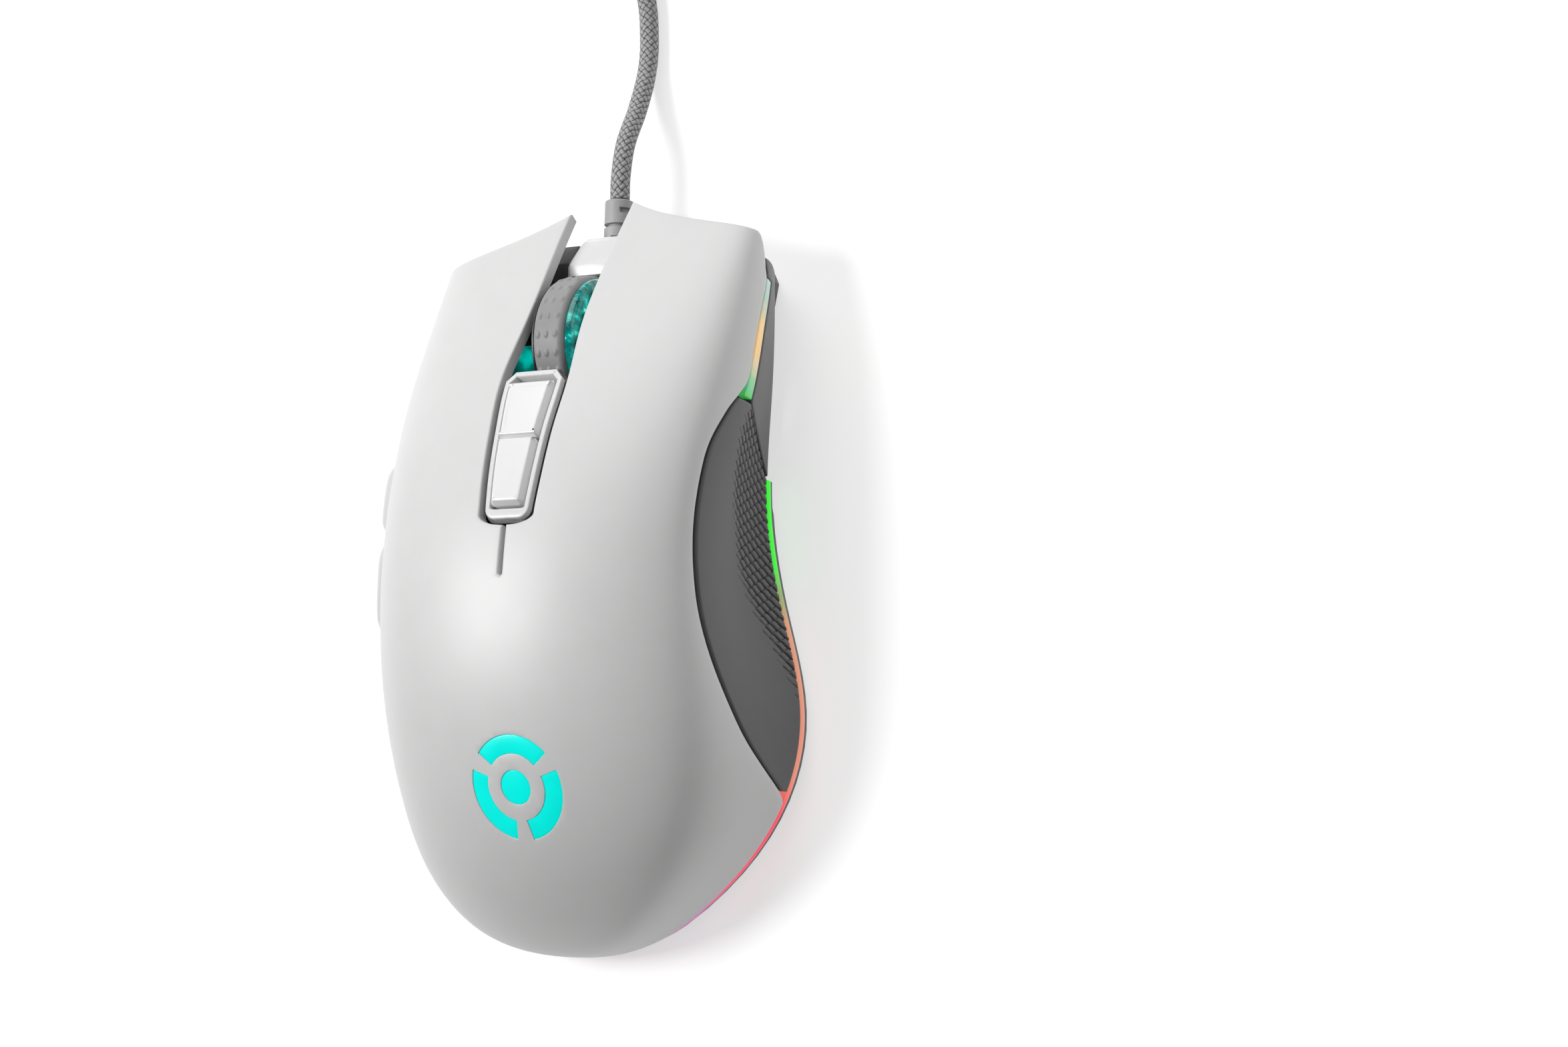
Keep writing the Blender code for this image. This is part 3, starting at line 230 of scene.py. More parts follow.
# ---- materials -------------------------------------------------------------------------------
class Finish:
    """A Principled material and short ways to add nodes to it."""

    def __init__(self, name, colour, roughness, **inputs):
        self.made = bpy.data.materials.new(name)
        self.made.use_nodes = True
        self.tree = self.made.node_tree
        self.shader = self.tree.nodes["Principled BSDF"]
        self.shader.inputs["Base Color"].default_value = (*colour, 1.0)
        self.shader.inputs["Roughness"].default_value = roughness
        for label, value in inputs.items():
            self.shader.inputs[label.replace("_", " ")].default_value = value

    def node(self, kind, inputs=(), **settings):
        """A new node; inputs maps an input's name or index to a value or to a socket."""
        made = self.tree.nodes.new("ShaderNode" + kind)
        for key, value in settings.items():
            setattr(made, key, value)
        for key, value in dict(inputs).items():
            if isinstance(value, bpy.types.NodeSocket):
                self.tree.links.new(value, made.inputs[key])
            else:
                made.inputs[key].default_value = value
        return made

    def math(self, operation, a, b=0.0, clamp=False):
        made = self.node("Math", {0: a, 1: b}, operation=operation, use_clamp=clamp)
        return made.outputs[0]

    def drive(self, socket, value):
        self.tree.links.new(value, self.shader.inputs[socket])

    def ramp(self, fac, stops):
        """A colour ramp; stops holds (position, (r, g, b))."""
        made = self.node("ValToRGB", {"Fac": fac})
        elements = made.color_ramp.elements
        while len(elements) < len(stops):
            elements.new(0.5)
        for element, (position, colour) in zip(elements, stops):
            element.position = position
            element.color = (*colour, 1.0)
        return made.outputs["Color"]

    def place(self):
        return self.node("TexCoord").outputs["Object"]

    def noise(self, size_mm, detail=2.0):
        """Noise with features of about this size, over the object's own coordinates."""
        made = self.node("TexNoise", {"Vector": self.place(), "Scale": 1.0 / (size_mm * MM),
                                      "Detail": detail})
        return made.outputs["Fac"]

    def bump(self, height, depth_mm):
        made = self.node("Bump", {"Height": height, "Distance": depth_mm * MM, "Strength": 1.0})
        self.drive("Normal", made.outputs["Normal"])

    def grain(self, size_mm, depth_mm, roughness, spread, tone):
        """Moulded texture: fine bump, with roughness and tone that wander a little."""
        fine = self.noise(size_mm, 3.0)
        self.bump(fine, depth_mm)
        broad = self.noise(size_mm * 25.0, 3.0)
        mixed = self.math("ADD", self.math("MULTIPLY", fine, 0.4),
                          self.math("MULTIPLY", broad, 0.6))
        rough = self.node("MapRange", {"Value": mixed, "From Min": 0.3, "From Max": 0.7,
                                       "To Min": roughness - spread, "To Max": roughness + spread})
        self.drive("Roughness", rough.outputs["Result"])
        low, high = tone
        self.drive("Base Color", self.ramp(mixed, [(0.35, low), (0.65, high)]))


def tones(colour, spread):
    """Two tones round a colour, for grain()."""
    return tuple(tuple(c * k for c in colour) for k in (1.0 - spread, 1.0 + spread))


def moulded(name, colour, roughness, grain_mm, depth_mm, spread, tone, **inputs):
    """A finish with a fine grain. spread is how far its roughness wanders, and tone its colour."""
    made = Finish(name, colour, roughness, **inputs)
    made.grain(grain_mm, depth_mm, roughness, spread, tones(colour, tone))
    return made


# raised pads of the grips: steps of the lattice along y and z, and where the pads end
PAD_DOWN = np.array([-1.06, -1.50])
PAD_ACROSS = np.array([0.66, -1.35])
PAD_ORIGIN = np.array([14.47, 18.65])
PAD_LIMIT = [(26.0, 15.0), (23.5, 16.9), (21.0, 18.1), (14.5, 18.5), (9.4, 17.2), (5.8, 16.3),
             (0.0, 15.4), (-5.8, 12.6), (-11.1, 9.7), (-18.3, 5.9), (-23.0, 3.0)]
PAD_LINES = (0.40, 0.95)        # how strong the grooves across and down the grip are
PAD_GROOVE = 0.16               # width of a groove, as a share of the lattice
PAD_DEPTH = 0.42
TO_CELL = np.linalg.inv(np.stack([PAD_DOWN, PAD_ACROSS], 1))


def grip_finish(colour, groove):
    """Soft grey rubber, with painted shade: the groove colour darkens the grooves between its pads."""
    top_z = 25.0        # above every pad
    made = moulded("grip_grey", colour, 0.50, 0.12, 0.006, 0.05, 0.06)
    base = made.shader.inputs["Base Color"].links[0].from_socket
    place = made.node("SeparateXYZ", {0: made.place()})
    y = made.math("MULTIPLY", place.outputs["Y"], 1.0 / MM)
    z = made.math("MULTIPLY", place.outputs["Z"], 1.0 / MM)
    off_y = made.math("SUBTRACT", y, PAD_ORIGIN[0])
    off_z = made.math("SUBTRACT", z, PAD_ORIGIN[1])
    depth = None
    for (along_y, along_z), strength in zip(TO_CELL, PAD_LINES):
        cell = made.math("ADD", made.math("MULTIPLY", off_y, along_y),
                         made.math("MULTIPLY", off_z, along_z))
        edge = made.math("PINGPONG", cell, 0.5)
        line = made.node("MapRange", {"Value": edge, "From Min": 0.03, "From Max": 0.13,
                                      "To Min": strength, "To Max": 0.0}).outputs["Result"]
        depth = line if depth is None else made.math("MAXIMUM", depth, line)
    low_y, high_y = PAD_LIMIT[-1][0], PAD_LIMIT[0][0]
    share = made.node("MapRange", {"Value": y, "From Min": low_y, "From Max": high_y})
    stops = [((at - low_y) / (high_y - low_y), (z_at / top_z,) * 3) for at, z_at in PAD_LIMIT[::-1]]
    limit = made.math("MULTIPLY", made.ramp(share.outputs["Result"], stops), top_z)
    room = made.math("MULTIPLY", made.math("SUBTRACT", limit, z), 0.7)
    amount = made.math("MULTIPLY", depth, made.math("ADD", room, 0.2, clamp=True))
    # painted shade: the dark groove colour is mixed in along the grooves, where shade falls
    mixed = made.node("MixRGB", {0: amount, 1: base, 2: (*groove, 1.0)})
    made.drive("Base Color", mixed.outputs[0])
    return made


SHELL = (0.620, 0.620, 0.617)
GRIP = (0.105, 0.105, 0.106)
white = moulded("white_satin", SHELL, 0.41, 0.22, 0.004, 0.03, 0.012, Specular_IOR_Level=0.45)
side_key = moulded("side_key_white", SHELL, 0.30, 0.22, 0.003, 0.03, 0.012)
rim_white = moulded("rim_white", (0.66, 0.66, 0.66), 0.28, 1.6, 0.004, 0.03, 0.01)
key_white = moulded("key_white", (0.76, 0.76, 0.76), 0.25, 1.6, 0.004, 0.03, 0.01)
# the second colour is painted shade for the grooves between the grip's pads
grip = grip_finish(GRIP, (0.026, 0.026, 0.026))
panel = moulded("panel_grey", GRIP, 0.42, 0.15, 0.004, 0.04, 0.04)
rubber = moulded("wheel_rubber", (0.27, 0.27, 0.27), 0.55, 0.10, 0.008, 0.06, 0.05)
relief = moulded("relief_rubber", (0.34, 0.34, 0.34), 0.52, 0.14, 0.008, 0.06, 0.05)
black = moulded("black_plastic", (0.022, 0.022, 0.023), 0.42, 0.14, 0.005, 0.05, 0.1)
steel = moulded("steel", (0.60, 0.60, 0.61), 0.28, 0.25, 0.002, 0.05, 0.03, Metallic=1.0)
glide = moulded("glide_foot", (0.05, 0.05, 0.05), 0.30, 0.3, 0.003, 0.04, 0.08)
# a very dark green: the board's own colour darkened further as painted shade, so that little shows
# through the slit and the slot
board = moulded("circuit_board", (0.008, 0.035, 0.020), 0.4, 0.9, 0.01, 0.08, 0.2)
brass = moulded("contact_gold", (0.78, 0.60, 0.28), 0.25, 0.3, 0.002, 0.04, 0.03, Metallic=1.0)
fabric = moulded("tie_fabric", (0.030, 0.030, 0.031), 0.85, 0.35, 0.09, 0.06, 0.25)
lens = moulded("clear_lens", (0.85, 0.90, 0.92), 0.07, 2.0, 0.003, 0.02, 0.02,
               Transmission_Weight=0.85, IOR=1.49)


def light_ramp(name, stops, strength, lit=True):
    """A frosted light guide lit in colours that change along the mouse; stops are (y, colour).
    Where it is lit, the same colours are its base colour."""
    low_y, high_y = stops[0][0], stops[-1][0]
    made = Finish(name, (0.06, 0.06, 0.06), 0.30)
    y = made.node("SeparateXYZ", {0: made.place()}).outputs["Y"]
    ripple = made.math("MULTIPLY", made.math("SUBTRACT", made.noise(1.2, 3.0), 0.5), 3.0 * MM)
    share = made.node("MapRange", {"Value": made.math("ADD", y, ripple), "From Min": low_y * MM,
                                   "From Max": high_y * MM}).outputs["Result"]
    places = [((at - low_y) / (high_y - low_y), colour) for at, colour in stops]
    colours = made.ramp(share, places)
    if lit:
        made.drive("Base Color", colours)
    made.drive("Emission Color", colours)
    made.shader.inputs["Emission Strength"].default_value = strength
    made.bump(made.noise(0.3), 0.01)
    return made


rear_glow = light_ramp("rear_light", [
    (-64.0, (0.45, 0.06, 0.32)), (-56.0, (0.55, 0.07, 0.36)), (-52.0, (0.84, 0.02, 0.10)),
    (-40.0, (0.87, 0.03, 0.07)), (-34.0, (0.72, 0.22, 0.14)), (-9.0, (0.62, 0.26, 0.14)),
    (-4.0, (0.22, 0.34, 0.10)), (1.0, (0.01, 0.78, 0.01)), (14.0, (0.0, 0.80, 0.0))],
    1.0, False)
rear_glow.shader.inputs["Specular IOR Level"].default_value = 0.2
front_glow = light_ramp("front_light", [
    (26.5, (0.04, 0.42, 0.05)), (28.3, (0.10, 0.42, 0.20)), (30.2, (0.24, 0.42, 0.22)),
    (32.0, (0.52, 0.42, 0.26)), (34.5, (0.64, 0.42, 0.17)), (39.0, (0.64, 0.43, 0.19)),
    (41.5, (0.42, 0.40, 0.28)), (44.0, (0.28, 0.40, 0.33)), (48.0, (0.30, 0.42, 0.38))],
    0.55)
cyan = Finish("emblem_cyan", (0.0, 0.52, 0.48), 0.25, Emission_Strength=0.52)
cyan.drive("Emission Color", cyan.ramp(cyan.noise(6.0), [(0.3, (0.0, 0.78, 0.66)),
                                                         (0.7, (0.0, 0.90, 0.78))]))
teal = Finish("teal_clear", (0.0, 0.10, 0.09), 0.10, Coat_Weight=0.4, Coat_Roughness=0.03,
              Emission_Strength=0.75)
# the emission is the lit hub's teal glow, and its brightest near-white stops are painted glints
# standing in for highlights
teal.drive("Emission Color", teal.ramp(teal.noise(1.9, 4.0), [
    (0.36, (0.0, 0.03, 0.028)), (0.50, (0.0, 0.15, 0.13)), (0.60, (0.0, 0.36, 0.31)),
    (0.66, (0.05, 0.75, 0.62)), (0.73, (0.75, 1.0, 0.95))]))
teal.bump(teal.noise(1.6), 0.25)
# painted light: a glow that stands in for the wheel's light falling into the cavity beside it
glow = Finish("painted_wheel_light", (0.0, 0.22, 0.20), 0.3, Emission_Strength=0.8)
glow.drive("Emission Color", glow.ramp(glow.noise(7.0, 3.0), [
    (0.35, (0.0, 0.03, 0.028)), (0.50, (0.0, 0.16, 0.14)), (0.62, (0.0, 0.62, 0.50))]))


# ---- mesh helpers ----------------------------------------------------------------------------
def make_piece(name, parts, finish, body, replaces=(), sharp=32.0):
    """One object from (verts, faces) parts in millimetres, riding on a CAD body."""
    verts = []
    faces = []
    for part_verts, part_faces in parts:
        start = len(verts)
        verts.extend((np.asarray(part_verts, float) * MM).tolist())
        faces.extend(tuple(start + k for k in face) for face in part_faces)
    mesh = bpy.data.meshes.new(name)
    mesh.from_pydata(verts, [], faces)
    bm = bmesh.new()
    bm.from_mesh(mesh)
    bmesh.ops.remove_doubles(bm, verts=bm.verts, dist=1e-7)
    bmesh.ops.dissolve_degenerate(bm, edges=bm.edges, dist=1e-8)
    bmesh.ops.recalc_face_normals(bm, faces=bm.faces)
    bm.to_mesh(mesh)
    bm.free()
    mesh.shade_smooth()
    mesh.set_sharp_from_angle(angle=math.radians(sharp))
    mesh.materials.append(finish.made)
    made = bpy.data.objects.new(name, mesh)
    bpy.context.scene.collection.objects.link(made)
    if body is not None:
        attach(made, body)
    if replaces:
        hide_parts(*replaces)
    return made


def quads(rows, cols, start=0, wrap=False):
    """Faces of a grid of vertices; wrap also joins the last column to the first."""
    faces = []
    for i in range(rows - 1):
        for j in range(cols if wrap else cols - 1):
            k = (j + 1) % cols
            faces.append((start + i * cols + j, start + i * cols + k,
                          start + (i + 1) * cols + k, start + (i + 1) * cols + j))
    return faces


def loft(loops):
    """A closed solid through loops of points of equal length, with flat ends."""
    loops = np.asarray(loops, float)
    rows, cols = loops.shape[:2]
    faces = quads(rows, cols, wrap=True)
    faces.append(tuple(range(cols)))
    faces.append(tuple(range((rows - 1) * cols, rows * cols))[::-1])
    return loops.reshape(-1, 3), faces


def closed_ring(loops):
    """A solid ring through loops that lead back to the first one."""
    loops = np.asarray(loops, float)
    rows, cols = loops.shape[:2]
    last = (rows - 1) * cols
    faces = quads(rows, cols, wrap=True)
    faces += [(last + j, last + (j + 1) % cols, (j + 1) % cols, j) for j in range(cols)]
    return loops.reshape(-1, 3), faces


def block(low, high, radius=0.2, segments=3):
    """A box between two corners with rounded edges."""
    bm = bmesh.new()
    bmesh.ops.create_cube(bm, size=1.0)
    low, high = np.array(low, float), np.array(high, float)
    for vert in bm.verts:
        vert.co = Vector((low + high) / 2 + np.array(vert.co) * (high - low))
    if radius:
        bmesh.ops.bevel(bm, geom=bm.edges[:], offset=radius, segments=segments, profile=0.5,
                        affect="EDGES", clamp_overlap=True)
    bm.verts.index_update()
    verts = [tuple(v.co) for v in bm.verts]
    faces = [tuple(v.index for v in f.verts) for f in bm.faces]
    bm.free()
    return verts, faces


# ---- pieces of the skin ----------------------------------------------------------------------
EDGE_STEPS = np.array([0.0, 0.05, 0.18, 0.40, 0.68])    # rows by an edge, in shares of its radius


def crowd(u, v, radius, first, last):
    """Resample each row of a (u, v) grid, with extra columns close to its first or last one."""
    rows_u, rows_v = [], []
    steps = np.linalg.norm(np.diff(SKIN.point(u, v), axis=1), axis=2)
    for row_u, row_v, step in zip(u, v, steps):
        run = np.concatenate([[0.0], np.cumsum(step)])
        if run[-1] < 1e-3:
            run = np.linspace(0.0, 1e-3, len(run))
        reach = min(radius, 0.3 * run[-1])
        low = reach if first else 0.0
        high = run[-1] - (reach if last else 0.0)
        at = [low + (high - low) * run / run[-1]]
        if first:
            at.insert(0, reach * EDGE_STEPS)
        if last:
            at.append(run[-1] - reach * EDGE_STEPS[::-1])
        at = np.concatenate(at)
        rows_u.append(np.interp(at, run, row_u))
        rows_v.append(np.interp(at, run, row_v))
    return np.array(rows_u), np.array(rows_v)


def dense(line, step):
    """The points of a polyline with more put between them."""
    line = np.asarray(line, float)
    out = [line[:1]]
    for a, b in zip(line[:-1], line[1:]):
        count = max(1, int(np.linalg.norm(b - a) / step))
        out.append(a + (b - a) * np.linspace(0, 1, count + 1)[1:, None])
    return np.vstack(out)


def sunk(points, normals, rim, radius):
    """Points near the rim go down along their normals, so that the edge there is round."""
    tree = kdtree.KDTree(len(rim))
    for i, p in enumerate(rim):
        tree.insert(p, i)
    tree.balance()
    gap = np.array([min(tree.find(p)[2], radius) for p in points.reshape(-1, 3)])
    drop = radius - np.sqrt(np.maximum(0.0, radius ** 2 - (radius - gap) ** 2))
    return points - normals * drop.reshape(points.shape[:2])[..., None]


def shell(u, v, thickness=2.0, radius=0.35, sides="abcd", lift=None, floor=None, back_step=1):
    """A closed sheet over the skin with rounded edges. Sides a and b are the first and last row,
    c and d the first and last column: those named are rounded. lift gives the height above the
    skin at each point, and back_step thins the columns of the hidden inner face."""
    u, v = crowd(u, v, radius, True, True)
    u, v = (grid.T for grid in crowd(u.T, v.T, radius, True, True))
    point, normal = SKIN.point(u, v), SKIN.normal(u, v)
    low = point - normal * thickness
    if floor is not None:
        low[..., 2] = np.maximum(low[..., 2], floor)
    edges = {"a": point[0], "b": point[-1], "c": point[:, 0], "d": point[:, -1]}
    rim = np.vstack([dense(edges[side], radius / 5) for side in sides])
    rim = rim[(np.abs(rim[:, 0]) > 0.02) | (rim[:, 1] > SLIT_REAR_Y + 1.0)]
    top = sunk(point, normal, rim, radius)
    if lift is not None:
        top = top + normal * lift(point)[..., None]
    return closed(top, low, back_step)


def closed(top, low, back_step=1):
    """A solid between two grids of points, the lower one thinned to every back_step column."""
    rows, cols = top.shape[:2]
    back = sorted({*range(0, cols, back_step), cols - 1})
    second = rows * cols
    thin = len(back)
    verts = np.vstack([top.reshape(-1, 3), low[:, back].reshape(-1, 3)])
    faces = quads(rows, cols)
    faces += [face[::-1] for face in quads(rows, thin, second)]
    for i, flip in ((0, 1), (rows - 1, -1)):
        for k in range(thin - 1):
            upper = [i * cols + j for j in range(back[k], back[k + 1] + 1)]
            faces.append(tuple(upper + [second + i * thin + k + 1, second + i * thin + k])[::flip])
    for j, k in ((0, 0), (cols - 1, thin - 1)):
        for i in range(rows - 1):
            face = (i * cols + j, (i + 1) * cols + j, second + (i + 1) * thin + k,
                    second + i * thin + k)
            faces.append(face if j else face[::-1])
    return verts, faces


def slot_half_width(y):
    """Half the gap between the main buttons: slot with round rear corners, slit, nothing."""
    turn = np.clip((y - SLOT_REAR_Y) / SLOT_CORNER, 0.0, 1.0)
    wide = (along(SLOT_HALF_WIDTH, y) - SLIT_HALF_WIDTH) * np.sqrt(1.0 - (1.0 - turn) ** 2)
    end = np.clip((y - SLIT_REAR_Y) / SLIT_HALF_WIDTH, 0.0, 1.0)
    return SLIT_HALF_WIDTH * np.sqrt(1.0 - (1.0 - end) ** 2) + wide


def button_rows():
    """Rows of a main button from 0 at the flexure line to 1 at the tip, close together by the
    ends of the slit and the slot."""
    quarter = 1.0 - np.cos(np.linspace(0.0, math.pi / 2, 10))
    y = [np.array([SPLIT_Y]), SLIT_REAR_Y + SLIT_HALF_WIDTH * quarter,
         np.arange(-3.0, 3.5, 0.8), SLOT_REAR_Y - np.array([0.6, 0.35, 0.2, 0.1, 0.04]),
         SLOT_REAR_Y + SLOT_CORNER * (1.0 - np.cos(np.linspace(0.0, math.pi / 2, 16))),
         np.arange(6.6, BUTTON_FRONT_Y, 0.8)]
    y = np.concatenate(y)
    return (y - SPLIT_Y) / (BUTTON_FRONT_Y - SPLIT_Y)


def main_button(side):
    """(u, v) grid of a main button, from the slot to the outer edge."""
    edge = RIGHT_EDGE if side > 0 else LEFT_EDGE
    rows = np.concatenate([button_rows(), [1.0]])
    cols = np.linspace(0.0, 1.0, 44)
    u = np.zeros((len(rows), len(cols)))
    v = np.zeros_like(u)
    outer_y, sweep = BUTTON_TIP[side]
    for j, across in enumerate(cols):
        from_slot = BUTTON_ACROSS[0] + BUTTON_ACROSS[1] * across
        tip = outer_y + sweep * math.exp(-from_slot / BUTTON_TIP_DECAY)
        tip -= BUTTON_CORNER * max(0.0, (across - CORNER_FROM) / (1.0 - CORNER_FROM)) ** 2
        y = SPLIT_Y + (tip - SPLIT_Y) * rows
        u[:, j] = SKIN.u_at(y)
        inner = SKIN.v_top(u[:, j], side * slot_half_width(y))
        edge_y = np.minimum(y, EDGE_FRONT_Y)
        outer = SKIN.v_side(SKIN.u_at(edge_y), along(edge, edge_y), side)
        v[:, j] = inner + (outer - inner) * across
    return u, v


def palm_grid():
    """(u, v) grid of the rear of the top shell."""
    front_u, lean_u = SKIN.u_at(SPLIT_Y), SKIN.u_at(GRIP_REAR_Y - 1.0)
    u_rows = np.concatenate([np.linspace(front_u, lean_u, 34), np.linspace(lean_u, 1.0, 40)[1:]])
    across = np.linspace(0.0, 1.0, 45)
    u = np.repeat(u_rows[:, None], 2 * len(across) - 1, axis=1)
    y = SKIN.point(u_rows, 0.5)[:, 1]
    beside_grip = y > GRIP_REAR_Y - 0.6
    low = np.where(beside_grip, SKIN.v_side(u_rows, along(LEFT_EDGE, y), -1), 0.0)[:, None]
    high = np.where(beside_grip, SKIN.v_side(u_rows, along(RIGHT_EDGE, y), 1), 1.0)[:, None]
    middle = SKIN.v_top(u_rows, 0.0)[:, None]
    v = np.hstack([low + (middle - low) * across[:-1], middle + (high - middle) * across])
    return u, v


def side_patch(side, y_values, low_z, high_z, across):
    """(u, v) grid of a strip of the side wall between two heights, each a function of y."""
    rows = SKIN.u_at(y_values)
    low = SKIN.v_side(rows, [low_z(y) for y in y_values], side)
    high = SKIN.v_side(rows, [high_z(y) for y in y_values], side)
    return np.repeat(rows[:, None], across, axis=1), np.linspace(low, high, across, axis=1)


def add_main_buttons():
    """Left and right button, from where they leave the palm shell to their tips."""
    for side, word in ((-1, "left"), (1, "right")):
        u, v = main_button(side)
        made = make_piece(word + "_button_skin", [shell(u, v, radius=0.4, sides="bcd")], white,
                          None, [word + "_main_button"])
        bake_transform(made)


def seam_z(y):
    """Height of the grip's lower edge: the slanted seam with the panel, then the skin's foot."""
    return along(SEAM, y) if y > SEAM[-1][0] else SKIN_BASE_Z


def panel_top(y):
    """The front panel stops at the light strip, and at the seam of the grip behind it."""
    if y > STRIP_FRONT_Y + 0.3:
        return along(RIGHT_EDGE, y) - 0.5
    return along(STRIP_BOTTOM, y) - 0.1 if y > 26.3 else along(SEAM, y) - 0.2


def pad_height(point):
    """Height of the grip's pads over the skin: 0 on a pad, less in the grooves between them."""
    cell = (point[..., 1:] - PAD_ORIGIN) @ TO_CELL.T
    index = np.floor(cell)
    within = cell - index
    centre = (index + 0.5) @ np.stack([PAD_DOWN, PAD_ACROSS]) + PAD_ORIGIN
    limit = along(PAD_LIMIT, centre[..., 0].ravel()).reshape(centre.shape[:-1])
    amount = np.clip((limit - centre[..., 1]) / 1.3 + 0.3, 0.0, 1.0)
    edge = np.minimum(within, 1.0 - within)
    groove = np.exp(-(edge / (PAD_GROOVE / 1.4)) ** 2)
    slant = 0.16 * (0.5 - within[..., 0]) + 0.12 * (0.5 - within[..., 1])
    return amount * (slant - PAD_DEPTH * np.max(groove * PAD_LINES, axis=-1))


def strip_height(point):
    """The light strips lie a little below the skin."""
    return np.full(point.shape[:-1], -0.12)


SIDE_BUTTON_GAP = 0.75          # between the end of a side button and the left grip


def left_grip_top(y):
    """The left grip stops under the side buttons, and reaches the shell before and behind them."""
    top = along(LEFT_EDGE, y) - 0.55
    rear = min(ends[0] for ends in SIDE_BUTTONS.values()) - SIDE_BUTTON_GAP
    front = max(ends[1] for ends in SIDE_BUTTONS.values()) + SIDE_BUTTON_GAP
    return min(top, SIDE_BUTTON_LOW_Z - 0.4) if rear < y < front else top


def wall_piece(name, side, y_rows, low_z, high_z, across, finish, body, node, shape,
               sharp=32.0):
    """A piece of the side wall between two heights, each a function of y. shape holds what
    shell() takes."""
    u, v = side_patch(side, y_rows, low_z, high_z, across)
    make_piece(name, [shell(u, v, **shape)], finish, body, [node], sharp)


def add_sides():
    """Grips, front panels and front light strips on both sides."""
    tops = {"right": lambda y: along(RIGHT_EDGE, y) - 0.55, "left": left_grip_top}
    panel_rows = np.concatenate([np.linspace(PANEL_FRONT_Y + 1.2, STRIP_FRONT_Y + 0.35, 8),
                                 np.linspace(STRIP_FRONT_Y + 0.2, 26.4, 40),
                                 np.linspace(26.2, 15.9, 24)])
    for side, word in ((1, "right"), (-1, "left")):
        wall_piece(word + "_grip_skin", side, np.linspace(26.0, GRIP_REAR_Y + 0.6, 540),
                   lambda y: seam_z(y) + 0.2, tops[word], 150, grip, "casing",
                   word + "_grip", {"thickness": 2.2, "radius": 0.45, "floor": SKIN_BASE_Z,
                                    "lift": pad_height, "back_step": 20}, 40.0)
        wall_piece(word + "_panel_skin", side, panel_rows, lambda y: SKIN_BASE_Z, panel_top, 14,
                   panel, "casing", word + "_front_panel",
                   {"radius": 0.3, "floor": SKIN_BASE_Z})
        wall_piece(word + "_strip_skin", side, np.linspace(STRIP_FRONT_Y, 26.6, 50),
                   lambda y: along(STRIP_BOTTOM, y) + 0.12, lambda y: along(STRIP_TOP, y) + 0.35, 8,
                   front_glow, "casing", word + "_light_strip",
                   {"thickness": 1.8, "radius": 0.2, "lift": strip_height})


# cross-sections of the light guide and of the rim below it: distance inwards, z
GUIDE_SECTION = [(2.2, 2.35), (0.65, 2.35), (0.48, 2.45), (0.42, 2.7), (0.42, 3.62), (0.48, 3.86),
                 (0.65, 3.95), (2.2, 3.95)]
RIM_SECTION = [(2.2, 1.05), (1.1, 1.05), (0.86, 1.3), (0.74, 1.6), (0.72, 2.0), (0.78, 2.2),
               (0.9, 2.28), (2.2, 2.28)]


def add_light_guide():
    """The glowing rim under the rear of the shell, and the dark edge of the base below it."""
    u = np.concatenate([SKIN.u_at(np.arange(GUIDE_FRONT_Y, TAIL_Y + 4.0, -1.0)),
                        np.linspace(SKIN.u_at(TAIL_Y + 3.0), 1.0, 25)])
    right, left = SKIN.point(u, 1.0)[:, :2], SKIN.point(u, 0.0)[:, :2]
    run = np.vstack([left, right[::-1][1:]])
    edge = np.gradient(run, axis=0)
    inward = np.stack([-edge[:, 1], edge[:, 0]], 1)
    inward /= np.linalg.norm(inward, axis=1, keepdims=True)

    def bar(section):
        loops = [[(*(at + way * depth), z) for depth, z in section] for at, way in zip(run, inward)]
        return loft(loops)

    make_piece("rear_light_guide_skin", [bar(GUIDE_SECTION)], rear_glow, "casing",
               ["rear_light_guide"])
    make_piece("base_rim", [bar(RIM_SECTION)], panel, "casing")


def side_button_height(rear, front):
    """Height over the skin of a side button between two y values, crowned both ways."""
    def height(point):
        top = along(LEFT_EDGE, point[..., 1].ravel()).reshape(point.shape[:-1])
        tall = top - SIDE_BUTTON_TOP_GAP - SIDE_BUTTON_LOW_Z
        high = (point[..., 2] - SIDE_BUTTON_LOW_Z) / tall
        ahead = (point[..., 1] - rear) / (front - rear)
        round_y = 1.0 - np.abs(2 * ahead - 1) ** 6
        round_z = 1.0 - np.abs(2 * high - 1) ** 4
        return 0.2 + SIDE_BUTTON_LIFT * np.clip(round_y, 0, 1) * np.clip(round_z, 0, 1)

    return height


def add_side_buttons():
    """Two thumb buttons that stand proud of the left wall."""
    for name, (rear, front) in SIDE_BUTTONS.items():
        wall_piece(name + "_skin", -1, np.linspace(front, rear, 60), lambda y: SIDE_BUTTON_LOW_Z,
                   lambda y: along(LEFT_EDGE, y) - SIDE_BUTTON_TOP_GAP, 30, side_key,
                   name.split("_")[-1] + "_key", name,
                   {"thickness": 2.6, "lift": side_button_height(rear, front)})


# ---- palm and emblem -------------------------------------------------------------------------
def arc_loop(k, grow):
    """Plan outline of arc k of the emblem, widened by grow all round."""
    inner, outer = EMBLEM_RING
    turn = 2 * math.pi / EMBLEM_ARCS
    half = turn / 2 - (EMBLEM_ARC_GAP / 2 - grow) / outer
    angle = math.pi / 2 + k * turn + np.linspace(half, -half, 41)
    out = np.stack([np.cos(angle), np.sin(angle)], 1)
    ends = [(inner - grow) * out[::-1], (outer + grow) * out]
    return np.array(EMBLEM_CENTRE) + np.vstack(ends)


